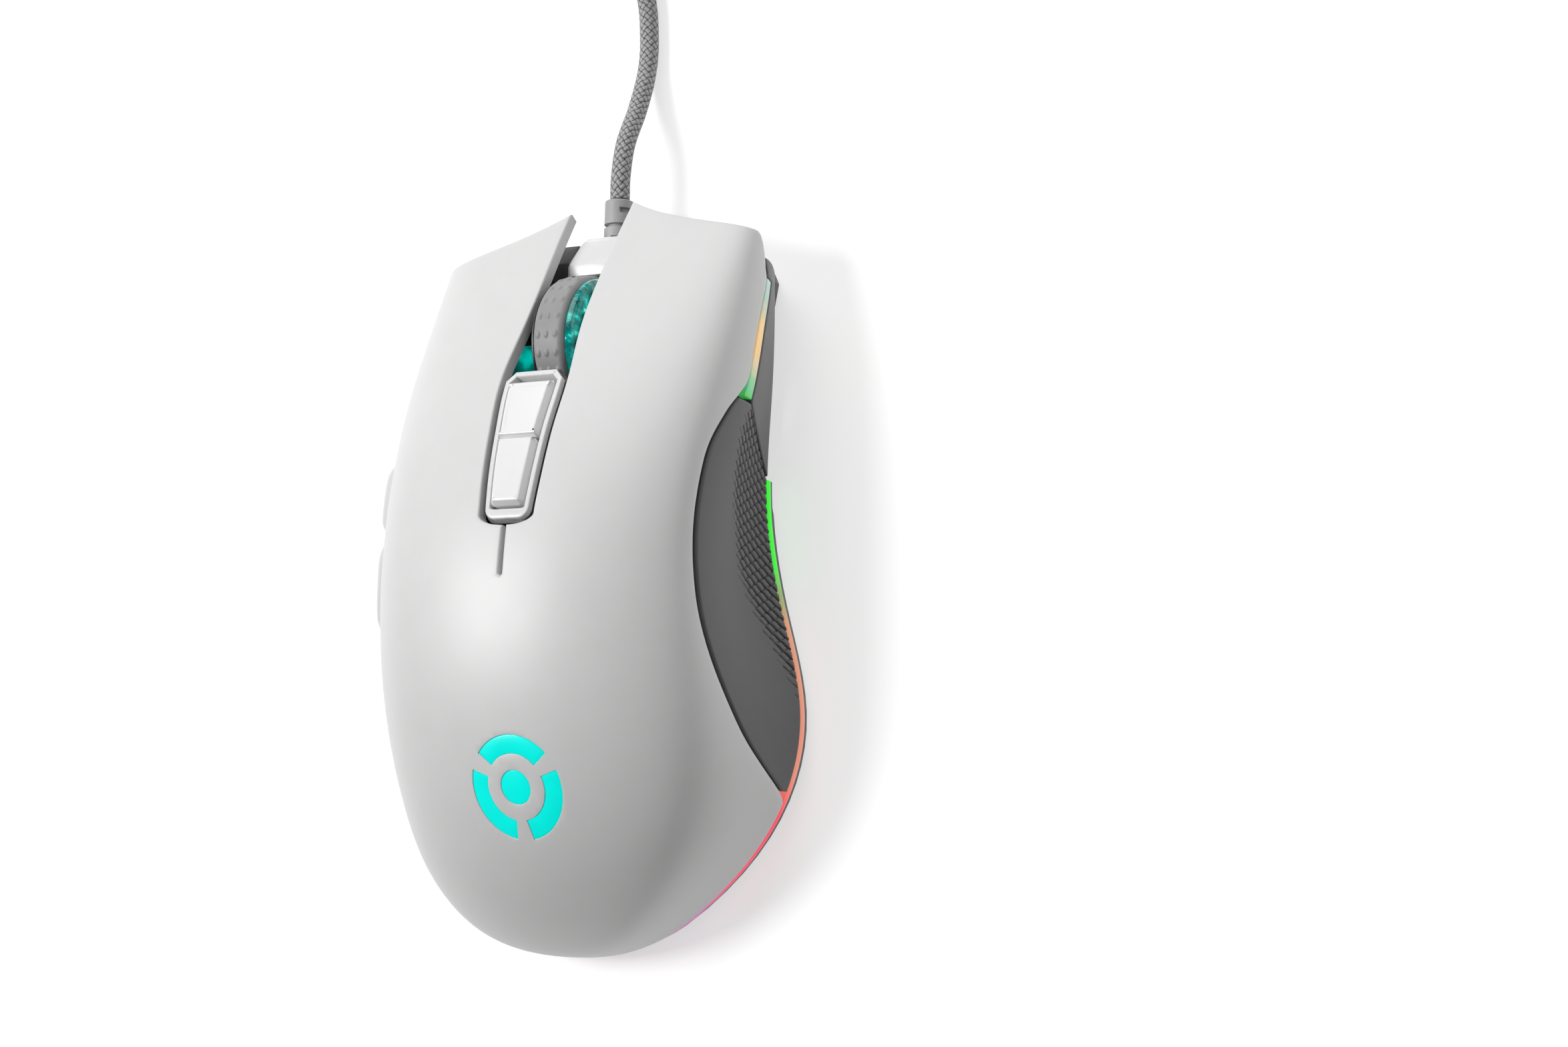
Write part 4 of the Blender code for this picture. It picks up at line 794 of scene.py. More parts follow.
def dot_loop(grow):
    """Plan outline of the dot in the middle of the emblem."""
    angle = np.linspace(0, 2 * math.pi, 48, endpoint=False)
    ring = np.stack([np.cos(angle), np.sin(angle)], 1)
    return np.array(EMBLEM_CENTRE) + (EMBLEM_DOT + grow) * ring


def emblem_loops(grow):
    """The outlines of all the emblem's shapes."""
    return [arc_loop(k, grow) for k in range(EMBLEM_ARCS)] + [dot_loop(grow)]


def inside(loop, points):
    """Whether each point lies in a closed loop."""
    x, y = points[:, 0], points[:, 1]
    hit = np.zeros(len(points), bool)
    for (x0, y0), (x1, y1) in zip(loop, np.roll(loop, -1, axis=0)):
        crosses = (y0 > y) != (y1 > y)
        with np.errstate(divide="ignore", invalid="ignore"):
            hit ^= crosses & (x < (x1 - x0) * (y - y0) / (y1 - y0) + x0)
    return hit


def on_crown(plan):
    """Points and normals of the skin over plan positions."""
    u = SKIN.u_at(plan[:, 1])
    v = SKIN.v_top(u, plan[:, 0])
    return SKIN.point(u, v), SKIN.normal(u, v)


def triangles(loops, fill):
    """Constrained triangles over plan points: the first loop bounds them."""
    verts, edges = [], []
    for loop in loops:
        start = len(verts)
        verts += [Vector(p) for p in loop]
        edges += [(start + i, start + (i + 1) % len(loop)) for i in range(len(loop))]
    verts += [Vector(p) for p in fill]
    out = geometry.delaunay_2d_cdt(verts, edges, [], 1, 1e-6)
    return np.array([tuple(p) for p in out[0]]), [tuple(f) for f in out[2]], out[3]


def border_edges(tris):
    """The edges that only one triangle has."""
    ways = {}
    for tri in tris:
        for a, b in zip(tri, tri[1:] + tri[:1]):
            ways.setdefault(frozenset((a, b)), []).append((a, b))
    return [way[0] for way in ways.values() if len(way) == 1]


def emblem_window(point):
    """First and last row and column of the part of the palm's grid round the emblem, which is
    triangulated anew."""
    rows, cols = point.shape[:2]
    reach = EMBLEM_RING[1] + 1.5
    inner_rows = [i for i in range(rows) if abs(point[i, cols // 2, 1] - EMBLEM_CENTRE[1]) < reach]
    middle = point[inner_rows[len(inner_rows) // 2]]
    inner_cols = [j for j in range(cols) if abs(middle[j, 0] - EMBLEM_CENTRE[0]) < reach
                  and middle[j, 2] > 20.0]
    return inner_rows[0], inner_rows[-1], inner_cols[0], inner_cols[-1]


def palm_part():
    """The palm shell with a pocket for each shape of the emblem."""
    u, v = crowd(*palm_grid(), 0.4, True, True)
    u, v = (grid.T for grid in crowd(u.T, v.T, 0.4, True, False))
    point, normal = SKIN.point(u, v), SKIN.normal(u, v)
    low = point - normal * 2.0
    low[..., 2] = np.maximum(low[..., 2], SKIN_BASE_Z)
    rim = dense(np.vstack([point[:, 0], point[::-1, -1]]), 0.08)
    top = sunk(point, normal, rim, 0.4)
    rows, cols = top.shape[:2]
    verts, faces = closed(top, low)
    i0, i1, j0, j1 = emblem_window(point)
    border = [(i0, j) for j in range(j0, j1)] + [(i, j1) for i in range(i0, i1)]
    border += [(i1, j) for j in range(j1, j0, -1)] + [(i, j0) for i in range(i1, i0, -1)]
    gone = {(i * cols + j) for i in range(i0, i1) for j in range(j0, j1)}
    keep_from = (rows - 1) * (cols - 1)
    faces = [f for n, f in enumerate(faces) if n >= keep_from or f[0] not in gone]
    holes = emblem_loops(0.0)
    collar = emblem_loops(0.05) + emblem_loops(0.12)
    grid = point[i0 + 1:i1, j0 + 1:j1, :2].reshape(-1, 2)
    taken = np.zeros(len(grid), bool)
    for loop in emblem_loops(0.35):
        taken |= inside(loop, grid)
    window_loop = np.array([point[i, j, :2] for i, j in border])
    plan, tris, source = triangles([window_loop] + holes + collar, grid[~taken])
    skin_point, skin_normal = on_crown(plan)
    centre = plan[np.array(tris)].mean(axis=1)
    tri_hole = np.zeros(len(tris), bool)
    for loop in holes:
        tri_hole |= inside(loop, centre)
    rim = np.vstack([on_crown(dense(np.vstack([loop, loop[:1]]), 0.05))[0] for loop in holes])
    ground = sunk(skin_point[None], skin_normal[None], rim, 0.12)[0]
    floor = skin_point - skin_normal * POCKET_DEPTH
    new = {}
    verts = list(verts)
    for n, origin in enumerate(source):
        first = min(origin) if origin else len(border)
        if first < len(border):
            i, j = border[first]
            new[n] = i * cols + j
        else:
            new[n] = len(verts)
            verts.append(ground[n])
    hole_tris = [tri for tri, hole in zip(tris, tri_hole) if hole]
    deep = {}
    for n in {k for tri in hole_tris for k in tri}:
        deep[n] = len(verts)
        verts.append(floor[n])
    faces += [tuple((deep if hole else new)[k] for k in tri) for tri, hole in zip(tris, tri_hole)]
    faces += [(new[a], new[b], deep[b], deep[a]) for a, b in border_edges(hole_tris)]
    return verts, faces


def add_palm():
    """The palm shell, and the lit shapes of the emblem in their pockets."""
    make_piece("palm_shell_skin", [palm_part()], white, "casing", ["palm_shell"])
    parts = []
    for loop in emblem_loops(-0.07):
        closed_loop = np.vstack([loop, loop[:1]])
        rings = [loop, inset(loop, 0.04), inset(loop, 0.10)]
        plan, tris, _ = triangles(rings, np.zeros((0, 2)))
        centre = plan[np.array(tris)].mean(axis=1)
        tris = [t for t, keep in zip(tris, inside(loop, centre)) if keep]
        point, normal = on_crown(plan)
        rim = on_crown(dense(closed_loop, 0.05))[0]
        top = sunk(point[None], normal[None], rim, 0.10)[0] - normal * 0.06
        low = point - normal * (POCKET_DEPTH - 0.05)
        count = len(plan)
        faces = [tuple(t) for t in tris] + [tuple(count + k for k in t[::-1]) for t in tris]
        faces += [(b, a, count + a, count + b) for a, b in border_edges(tris)]
        parts.append((np.vstack([top, low]), faces))
    make_piece("emblem_inlay", parts, cyan, "casing", ["emblem_lens"])


def inset(loop, distance):
    """An outline moved inwards."""
    edge = np.roll(loop, -1, axis=0) - np.roll(loop, 1, axis=0)
    area = np.sum(loop[:, 0] * np.roll(loop[:, 1], -1) - loop[:, 1] * np.roll(loop[:, 0], -1))
    inward = np.stack([-edge[:, 1], edge[:, 0]], 1) * np.sign(area)
    inward /= np.maximum(np.linalg.norm(inward, axis=1, keepdims=True), 1e-9)
    return loop + inward * distance


# ---- controls on the centre line -------------------------------------------------------------
def rim_outline(half_width, y0, y1, front_cut, rear_radius, count=14):
    """Outline with a chamfered front and a round rear, anticlockwise from the rear middle."""
    right = []
    for k in range(count):
        turn = math.pi / 2 * k / (count - 1)
        right.append((half_width(y0 + rear_radius) - rear_radius * (1 - math.sin(turn)),
                      y0 + rear_radius * (1 - math.cos(turn))))
    for y in np.linspace(y0 + rear_radius, y1 - front_cut, 24)[1:]:
        right.append((half_width(y), y))
    for share in np.linspace(0.0, 1.0, 6)[1:]:
        right.append((half_width(y1 - front_cut) - front_cut * share, y1 - front_cut * (1 - share)))
    right.insert(0, (0.0, y0))
    right.append((0.0, y1))
    left = [(-x, y) for x, y in right[-2:0:-1]]
    return np.array(right + left)


def raised(loop, steps, front_share=1.0, rear_share=1.0):
    """Loops over the crown: each step is (distance inwards, height over the skin). The shares
    are how much of each distance is kept at the front and at the rear."""
    out = []
    share = np.where(loop[:, 1] > loop[:, 1].mean(), front_share, rear_share)
    for distance, height in steps:
        plan = inset(loop, distance)
        plan[:, 1] = loop[:, 1] + (plan[:, 1] - loop[:, 1]) * share
        point, normal = on_crown(plan)
        out.append(point + normal * height)
    return out


BEZEL_PROFILE = [(0.0, -3.0), (0.0, 0.0), (0.03, 0.12), (0.09, 0.20), (0.18, 0.24), (0.30, 0.25),
                 (0.70, 0.25), (0.82, 0.22), (0.89, 0.14), (0.92, 0.02), (0.92, -3.0)]
# a black ring below the gap round the bezel: painted shade in that gap
GAP_SHADE_PROFILE = [(-0.52, -3.0), (-0.52, -0.95), (-0.46, -0.88), (0.05, -0.88), (0.05, -3.0)]
BEZEL_REAR = 1.8                # the bezel's rim is this much wider at its rear
BEZEL_Y = (4.95, 30.2)
BEZEL_SIDE = 1.05               # from the side of the slot to the bezel, and to its keys
KEY_SIDE = 2.15
DPI_SHIFT = np.array((0.3, 0.0))    # the bezel and its keys sit this far right in their slot
# name, rear and front y, radius of the rear corners, how far the front and rear slopes reach
DPI_KEYS = [("dpi_up_button", 18.35, 28.2, 0.5, (1.0, 0.6)),
            ("dpi_down_button", 7.0, 18.15, 0.9, (0.25, 1.0))]
KEY_PROFILE = [(0.0, -3.0), (0.0, 0.1), (0.03, 0.22), (0.12, 0.32), (0.62, 0.96), (0.72, 1.05),
               (0.86, 1.10), (1.05, 1.12), (1.3, 1.12)]


def add_dpi_controls():
    """The white bezel, a black ring round it that is painted shade down in the gap, and the two
    sensitivity buttons in it.
    """
    outline = rim_outline(lambda y: along(SLOT_HALF_WIDTH, y) - BEZEL_SIDE, *BEZEL_Y, 1.6, 1.9)
    outline = outline + DPI_SHIFT
    # painted shade: a black ring in the gap between the slot and the bezel
    make_piece("dpi_gap_shade", [closed_ring(raised(outline, GAP_SHADE_PROFILE))], black, "casing")
    make_piece("dpi_bezel_skin", [closed_ring(raised(outline, BEZEL_PROFILE, 1.0, BEZEL_REAR))],
               rim_white, "casing", ["dpi_bezel"])
    for name, rear, front, corner, shares in DPI_KEYS:
        key = rim_outline(lambda y: along(SLOT_HALF_WIDTH, y) - KEY_SIDE, rear, front, 0.5, corner, 6)
        make_piece(name + "_skin", [loft(raised(key + DPI_SHIFT, KEY_PROFILE, *shares))], key_white,
                   name.replace("button", "key"), [name])


TYRE_X = (-3.5, 2.35)
TYRE_BORE = 9.6
TREAD_RADIUS = WHEEL_RADIUS - 0.1
STUD_ROWS = 24
STUD_X = (-2.3, -0.7, 1.0)
STUD_SIZE = (0.42, 0.68)        # half width across the tread, and half length round it
STUD_HEIGHT = 0.19
HUB_PROFILE = [(1.3, -3.4), (9.5, -3.4), (9.55, 2.36), (11.0, 2.38), (11.25, 2.7), (11.15, 3.3),
               (10.7, 3.85), (10.0, 4.2), (9.2, 4.35), (8.6, 4.2), (8.2, 3.9), (7.4, 3.2),
               (5.6, 2.5), (3.2, 2.2), (2.6, 2.9), (1.3, 3.0)]
HUB_DISH = slice(11, 13)        # the points of the profile that the facets move
FLANGE_PROFILE = [(9.3, -3.93), (11.3, -3.93), (11.45, -3.8), (11.45, -3.52), (9.3, -3.52)]
FORK_PROFILE = [(3.0, -4.8), (9.7, -4.8), (9.9, -4.65), (9.9, -4.25), (9.7, -4.1), (3.0, -4.1)]


def wheel_ring(profile, segments=96, rise=0.0):
    """A solid ring round the axle: profile is a closed loop of (radius, x), and rise is added
    to the radius."""
    radius, x = np.array(profile).T
    angle = np.linspace(0, 2 * math.pi, segments, endpoint=False)
    ring = radius[:, None] + rise
    x = np.repeat(x[:, None], segments, 1)
    loops = np.stack([x, ring * np.cos(angle), ring * np.sin(angle)], -1)
    return closed_ring(loops + np.array(WHEEL_CENTRE))


def tyre_part():
    """The tyre: round shoulders, and rows of small oval studs on its tread."""
    left, right = TYRE_X
    r = TREAD_RADIUS
    profile = [(r - 1.1, left), (r - 0.75, left + 0.03), (r - 0.35, left + 0.2),
               (r - 0.1, left + 0.5)]
    profile += [(r, x) for x in np.linspace(left + 0.8, right - 0.9, 34)]
    profile += [(r - 0.12, right - 0.6), (r - 0.4, right - 0.25), (r - 0.8, right - 0.05),
                (r - 1.3, right), (TYRE_BORE, right), (TYRE_BORE, left)]
    x = np.array(profile)[:, 1:]
    segments = STUD_ROWS * 18
    row = np.arange(segments) / segments * STUD_ROWS
    round_it = ((row + 0.5) % 1.0 - 0.5) * 2 * math.pi / STUD_ROWS * WHEEL_RADIUS
    rise = 0.0
    for stud_x in STUD_X:
        gap = ((x - stud_x) / STUD_SIZE[0]) ** 2 + (round_it / STUD_SIZE[1]) ** 2
        rise = rise + STUD_HEIGHT * np.clip(1.15 - gap, 0.0, 1.0) ** 0.7
    return wheel_ring(profile, segments, rise)


def hub_part():
    """The clear hub: a bright rim on the right and a dished face with facets."""
    verts, faces = wheel_ring(HUB_PROFILE)
    loops = verts.reshape(len(HUB_PROFILE), -1, 3)
    loops[HUB_DISH, :, 0] += 0.56 * np.abs((np.arange(loops.shape[1]) / 8.0) % 1.0 - 0.5)
    return verts, faces


def add_wheel():
    """The wheel with its flange, the dark disc of the cradle, and a plate on its left whose glow is
    painted light from the wheel.
    """
    make_piece("wheel_tyre_skin", [tyre_part()], rubber, "scroll_wheel",
               ["wheel_tyre"], 50.0)
    make_piece("wheel_hub_skin", [hub_part()], teal, "scroll_wheel",
               ["wheel_hub"], 40.0)
    make_piece("wheel_flange", [wheel_ring(FLANGE_PROFILE)], black, "scroll_wheel")
    make_piece("wheel_fork", [wheel_ring(FORK_PROFILE)], black, "cradle")
    # painted light: a glowing plate in the cavity to the left of the wheel
    make_piece("painted_wheel_glow", [block((-20.0, 23.0, 16.4), (-6.2, 38.5, 17.0), 0.15)], glow,
               "casing")


# ---- nose, strain relief ---------------------------------------------------------------------
# stations along y of the bridge and of the frame beside it: y, half width, low z, top z
BRIDGE = [(49.45, 4.9, 12.5, 17.3), (49.6, 5.15, 12.5, 17.9), (51.5, 5.2, 12.5, 17.95),
          (52.7, 5.15, 12.5, 17.3), (56.1, 4.6, 12.5, 15.0), (57.0, 4.3, 12.5, 13.9),
          (57.1, 4.2, 12.5, 13.4)]
NOSE_FRAME = [(49.6, 2.45, 6.0, 15.4), (52.6, 2.45, 6.0, 15.6), (56.4, 2.3, 6.0, 12.6)]
NOSE_FRAME_X = 7.75


def add_nose():
    """The white bridge over the cable outlet, the grey frame beside it, and a black plate under
    the slit that is painted shade."""
    make_piece("nose_bridge_skin", [softened(faceted(BRIDGE, 1.2), 0.22)], rim_white, "casing",
               ["nose_bridge"], 24.0)
    verts, faces = softened(faceted(NOSE_FRAME, 0.6), 0.2)
    sides = [(np.array(verts) + np.array((x, 0.0, 0.0)), faces) for x in (-NOSE_FRAME_X, NOSE_FRAME_X)]
    make_piece("nose_frame", sides, panel, "casing")
    # painted shade: a black plate under the slit, so that the slit looks dark inside
    make_piece("slit_shade_plate", [block((-5.2, -6.5, 35.6), (5.2, 5.6, 36.2), 0.1)], black, "casing")


def faceted(stations, corner):
    """A bar along y through stations (y, half width, low z, top z) with chamfered shoulders."""
    loops = []
    for y, half, low, top in stations:
        loops.append([(-half, y, low), (-half, y, top - corner), (corner - half, y, top),
                      (half - corner, y, top), (half, y, top - corner), (half, y, low)])
    return loft(loops)


def softened(part, radius, segments=3):
    """A part with its edges rounded."""
    verts, faces = part
    mesh = bpy.data.meshes.new("soft")
    mesh.from_pydata(np.asarray(verts, float).tolist(), [], faces)
    bm = bmesh.new()
    bm.from_mesh(mesh)
    bpy.data.meshes.remove(mesh)
    bmesh.ops.recalc_face_normals(bm, faces=bm.faces)
    sharp = [e for e in bm.edges if e.is_manifold and e.calc_face_angle(0.0) > 0.15]
    bmesh.ops.bevel(bm, geom=sharp, offset=radius, segments=segments, profile=0.5,
                    affect="EDGES", clamp_overlap=True)
    bm.verts.index_update()
    out = [tuple(v.co) for v in bm.verts], [tuple(v.index for v in f.verts) for f in bm.faces]
    bm.free()
    return out


RELIEF_START_Y = 52.0
RELIEF_LENGTH = 12.35
COLLAR_LENGTH = 4.8             # the smooth part that sits in the nose
COLLAR_RADIUS = 2.35
RELIEF_RADIUS = 2.52
RELIEF_ROUND = 0.32             # how far from its end the relief rounds off
RING_GROOVE_AT = 7.75           # the groove that goes all round
SLOTS = [(5.3, 0.9), (10.35, 0.35)]     # distance along, and turn, of each pair of slots


def relief_part():
    """The strain relief: rings parted by a groove, with a pair of slots on each side of it."""
    y = np.concatenate([np.linspace(0, 4.6, 8),
                        np.linspace(COLLAR_LENGTH, RELIEF_LENGTH - 0.4, 110),
                        RELIEF_LENGTH - np.linspace(RELIEF_ROUND, 0.0, 5)])
    grid_y, grid_a = np.meshgrid(y, np.linspace(0, 2 * math.pi, 96, endpoint=False), indexing="ij")
    radius = np.where(grid_y < COLLAR_LENGTH, COLLAR_RADIUS, RELIEF_RADIUS)

    def notch(at, half_width, depth):
        return depth * np.clip((half_width - np.abs(grid_y - at)) / 0.06 + 0.5, 0, 1)

    radius = radius - notch(RING_GROOVE_AT, 0.30, 0.7)
    for at, turn in SLOTS:
        for side in (0.0, math.pi):
            off = np.abs((grid_a - side - turn + math.pi) % (2 * math.pi) - math.pi)
            radius = radius - notch(at, 0.42, 0.8) * np.clip((0.62 - off) / 0.05 + 0.5, 0, 1)
    end = np.clip((y - (RELIEF_LENGTH - RELIEF_ROUND)) / RELIEF_ROUND, 0, 1)[:, None]
    radius = radius - 0.5 * (1 - np.sqrt(1 - end ** 2))
    return loft(np.stack([radius * np.cos(grid_a), RELIEF_START_Y + grid_y,
                          RELIEF_Z + radius * np.sin(grid_a)], -1))


def add_relief():
    """The rubber strain relief round the cable."""
    make_piece("strain_relief_skin", [relief_part()], relief, "casing",
               ["strain_relief"], 50.0)


# ---- cable, tie and plug ---------------------------------------------------------------------
CABLE_DIAMETER = 3.4
LEAD_ROUTE = [(0.0, 64.65, RELIEF_Z), (0.0, 69.0, RELIEF_Z), (0.0, 75.0, 8.2), (0.0, 82.0, 4.8),
              (0.0, 89.0, 2.3), (0.0, 95.0, 1.75), (-1.2, 104.0, 1.75), (-6.0, 113.0, 1.75),
              (-14.5, 121.2, 1.75)]
COIL_CENTRE = (8.0, 141.0)
PLUG_X = 44.2
PLUG_Z = 4.3
TAIL_ROUTE = [(17.5, 169.8, 6.5), (27.0, 167.0, 5.0), (36.5, 161.0, 4.4), (42.5, 153.5, PLUG_Z),
              (PLUG_X, 146.5, PLUG_Z)]
COIL_INNER = 15.0               # centreline radii of the coil's turns
COIL_OUTER = 25.5
COIL_LAYERS = 4
COIL_LOW_Z = 1.72
LAYER_RISE = 3.32
LAYER_TURNS = 2.943
STEP_UP = math.radians(50.0)    # how far round the cable climbs to the next layer
COIL_START = math.radians(180.0)
BRAID_CELLS = 8                 # strands each way round the cable
BRAID_STEP = math.pi * CABLE_DIAMETER / BRAID_CELLS
BRAID_RISE = 0.15
FINE_RUN = 26.0                 # the braid is modelled strand by strand as far as this
CABLE_SIDES = 60


def coil_point(angle, radius, z):
    """A point of the coil at an angle and a radius from its middle."""
    cx, cy = COIL_CENTRE
    return (cx + radius * math.cos(angle), cy + radius * math.sin(angle), z)


def cable_line():
    """Centreline of the whole cable: the lead, the coil from its lowest layer up, the tail."""
    points = list(LEAD_ROUTE)
    for turn, radius in ((210.0, 28.9), (198.0, 27.2), (188.0, 26.0)):
        points.append(coil_point(math.radians(turn), radius, COIL_LOW_Z))
    angle = COIL_START
    for layer in range(COIL_LAYERS):
        z = COIL_LOW_Z + LAYER_RISE * layer
        ends = (COIL_OUTER, COIL_INNER) if layer % 2 == 0 else (COIL_INNER, COIL_OUTER)
        for share in np.linspace(0.0, 1.0, 54):
            radius = ends[0] + (ends[1] - ends[0]) * share
            points.append(coil_point(angle - share * LAYER_TURNS * 2 * math.pi, radius, z))
        angle -= LAYER_TURNS * 2 * math.pi
        if layer < COIL_LAYERS - 1:
            for share in (0.33, 0.67):
                rise = LAYER_RISE * share ** 2 * (3 - 2 * share)
                points.append(coil_point(angle - share * STEP_UP, ends[1], z + rise))
            angle -= STEP_UP
    for turn, radius, z in ((99.0, 27.0, 11.55), (88.0, 28.2, 10.5), (79.5, 29.0, 8.5)):
        points.append(coil_point(math.radians(turn), radius, z))
    return smooth(points + TAIL_ROUTE, 10)


def resampled(line, steps):
    """Points at the given distances along a polyline."""
    run = np.concatenate([[0.0], np.cumsum(np.linalg.norm(np.diff(line, axis=0), axis=1))])
    return np.stack([np.interp(steps, run, line[:, k]) for k in range(3)], 1)


def braid_height(u, v):
    """Height of two crossing families of strands, 0 to 1; u and v count cells."""
    a, b = u + v, u - v
    over = (np.floor(a) + np.floor(b)) % 2.0
    bulge_a = 1.0 - (2.0 * (a % 1.0) - 1.0) ** 2
    bulge_b = 1.0 - (2.0 * (b % 1.0) - 1.0) ** 2
    return np.where(over > 0.5, bulge_a, bulge_b)


def braid_finish():
    """Woven sleeve: two families of strands over and under each other, with dark flecks and painted
    shade where the strands dip.
    """
    made = Finish("grey_braid", (0.36, 0.36, 0.36), 0.75)
    place = made.node("SeparateXYZ", {0: made.node("UVMap", uv_map="braid").outputs["UV"]})
    across = made.math("MULTIPLY", place.outputs["X"], BRAID_CELLS)
    a = made.math("ADD", across, place.outputs["Y"])
    b = made.math("SUBTRACT", across, place.outputs["Y"])
    bulges = []
    for way in (a, b):
        off = made.math("SUBTRACT", made.math("MULTIPLY", made.math("FRACT", way), 2.0), 1.0)
        bulges.append(made.math("SUBTRACT", 1.0, made.math("MULTIPLY", off, off)))
    total = made.math("ADD", made.math("FLOOR", a), made.math("FLOOR", b))
    over = made.math("FLOORED_MODULO", total, 2.0)
    height = made.node("Mix", {0: over, 2: bulges[1], 3: bulges[0]}).outputs[0]
    # painted shade and real flecks: darker where a strand's bulge falls away between strands, and
    # darker in random flecks
    fleck_and_gap_shade = made.math("ADD", height, made.math("MULTIPLY", made.noise(0.5, 2.0), 0.9))
    made.drive("Base Color", made.ramp(made.math("MULTIPLY", fleck_and_gap_shade, 0.6), [
        (0.38, (0.045, 0.045, 0.045)), (0.50, (0.17, 0.17, 0.17)), (0.70, (0.38, 0.38, 0.38))]))
    made.bump(height, 0.12)
    return made


def cable_rings(route, steps, share):
    """Rings of points round the route, with the braid in relief as far as FINE_RUN."""
    ahead = np.gradient(route, axis=0)
    ahead /= np.linalg.norm(ahead, axis=1, keepdims=True)
    side = np.cross(ahead[0], (0.0, 0.0, 1.0))
    cosine = np.cos(2 * math.pi * share)[:, None]
    sine = np.sin(2 * math.pi * share)[:, None]
    rings = []
    for point, direction, step in zip(route, ahead, steps):
        side = side - direction * (side @ direction)
        side /= np.linalg.norm(side)
        up = np.cross(side, direction)
        rise = braid_height(share * BRAID_CELLS, step / BRAID_STEP) - 0.6
        rise = rise * BRAID_RISE * min(1.0, max(0.0, (FINE_RUN - step) / 3.0))
        radius = (CABLE_DIAMETER / 2 - 0.03 + rise)[:, None]
        rings.append(point + radius * (cosine * side + sine * up))
    return np.array(rings)


def braid_uvs(steps, share):
    """UVs of each face of the cable: share round it, and cells of the braid along it."""
    rows = np.repeat(np.arange(len(steps) - 1), len(share) - 1)
    cols = np.tile(np.arange(len(share) - 1), len(steps) - 1)
    v0, v1 = steps[rows] / BRAID_STEP, steps[rows + 1] / BRAID_STEP
    u0, u1 = share[cols], share[cols + 1]
    corners = [(u0, v0), (u1, v0), (u1, v1), (u0, v1)]
    return np.stack([np.stack(corner, 1) for corner in corners], 1).reshape(-1)


def add_cable():
    """The free cable with its coil, the tie round the coil, and the USB plug."""
    line = cable_line()
    length = np.linalg.norm(np.diff(line, axis=0), axis=1).sum()
    steps = np.concatenate([np.arange(0.0, FINE_RUN, 0.2), np.linspace(FINE_RUN, length, 760)])
    route = resampled(line, steps)
    share = np.linspace(0.0, 1.0, CABLE_SIDES + 1)
    verts = cable_rings(route, steps, share[:-1]).reshape(-1, 3)
    mesh = bpy.data.meshes.new("usb_cable")
    mesh.from_pydata((verts * MM).tolist(), [], quads(len(route), CABLE_SIDES, wrap=True))
    mesh.uv_layers.new(name="braid").data.foreach_set("uv", braid_uvs(steps, share))
    bm = bmesh.new()
    bm.from_mesh(mesh)
    bmesh.ops.holes_fill(bm, edges=[e for e in bm.edges if e.is_boundary])
    bmesh.ops.recalc_face_normals(bm, faces=bm.faces)
    bm.to_mesh(mesh)
    bm.free()
    mesh.shade_smooth()
    mesh.materials.append(braid_finish().made)
    cable = bpy.data.objects.new("usb_cable", mesh)
    bpy.context.scene.collection.objects.link(cable)
    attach(cable, "casing")
    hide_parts("cable", "cable_coil", "cable_tail")
    pieces = [add_tie(), *add_plug()]


TIE_X = (5.5, 10.5)
TIE_Y = (113.5, 128.4)
TIE_TOP = 13.7
TIE_CORNER = 1.4


def tie_loop(x, out):
    """The tie's inner outline at x, moved outwards."""
    y0, y1 = TIE_Y[0] + TIE_CORNER, TIE_Y[1] - TIE_CORNER
    low, high = TIE_CORNER + 0.1, TIE_TOP - TIE_CORNER
    loop = []
    for cy, cz, first in ((y1, high, 0.0), (y0, high, 90.0), (y0, low, 180.0), (y1, low, 270.0)):
        for turn in np.radians(np.linspace(first, first + 90.0, 8)):
            y = cy + (TIE_CORNER + out) * math.cos(turn)
            z = cz + (TIE_CORNER + out) * math.sin(turn)
            loop.append((x, y, max(z, 0.1 if out else 0.3)))
    return loop


def add_tie():
    """A woven strap round one side of the coil, its end lapped over on top."""
    x0, x1 = TIE_X
    stations = [(x0, 0.25), (x0 + 0.15, 0.75), (x0 + 0.4, 0.9), (x1 - 0.4, 0.9), (x1 - 0.15, 0.75),
                (x1, 0.25), (x1, 0.0), (x0, 0.0)]
    strap = closed_ring([tie_loop(x, out) for x, out in stations])
    lap = block((x0 + 0.1, 117.0, TIE_TOP + 0.4), (x1 - 0.1, 126.5, TIE_TOP + 0.98), 0.25)
    return make_piece("coil_tie", [strap, lap], fabric, "casing", ["cable_tie"])


# the plug, with x and z from its axis
PLUG_GRIP = [(119.5, 7.6, 3.9), (120.0, 7.95, 4.2), (136.0, 7.95, 4.2), (138.5, 6.6, 3.7),
             (143.2, 4.2, 3.2), (146.2, 3.2, 2.7)]
PLUG_RIBS_Y = (125.5, 127.5, 129.5, 131.5)
SLEEVE_Y = (107.5, 119.2)
SLEEVE_HALF = (6.0, 2.25)       # half its width and height
SLEEVE_WALL = 0.3
SLEEVE_SOLID_X = ((-6.0, -3.6), (-1.2, 1.2), (3.6, 6.0))    # stretches without a window
SLEEVE_WINDOW_X = ((-3.7, -1.1), (1.1, 3.7))
SLEEVE_WINDOW_Y = (111.3, 113.6)
CONTACTS_X = (-3.5, -1.0, 1.0, 3.5)


def plug_block(x, y, z, *rounding):
    """A block between two x, two y and two z values, x and z being from the plug's axis."""
    return block((PLUG_X + x[0], y[0], PLUG_Z + z[0]), (PLUG_X + x[1], y[1], PLUG_Z + z[1]),
                 *rounding)


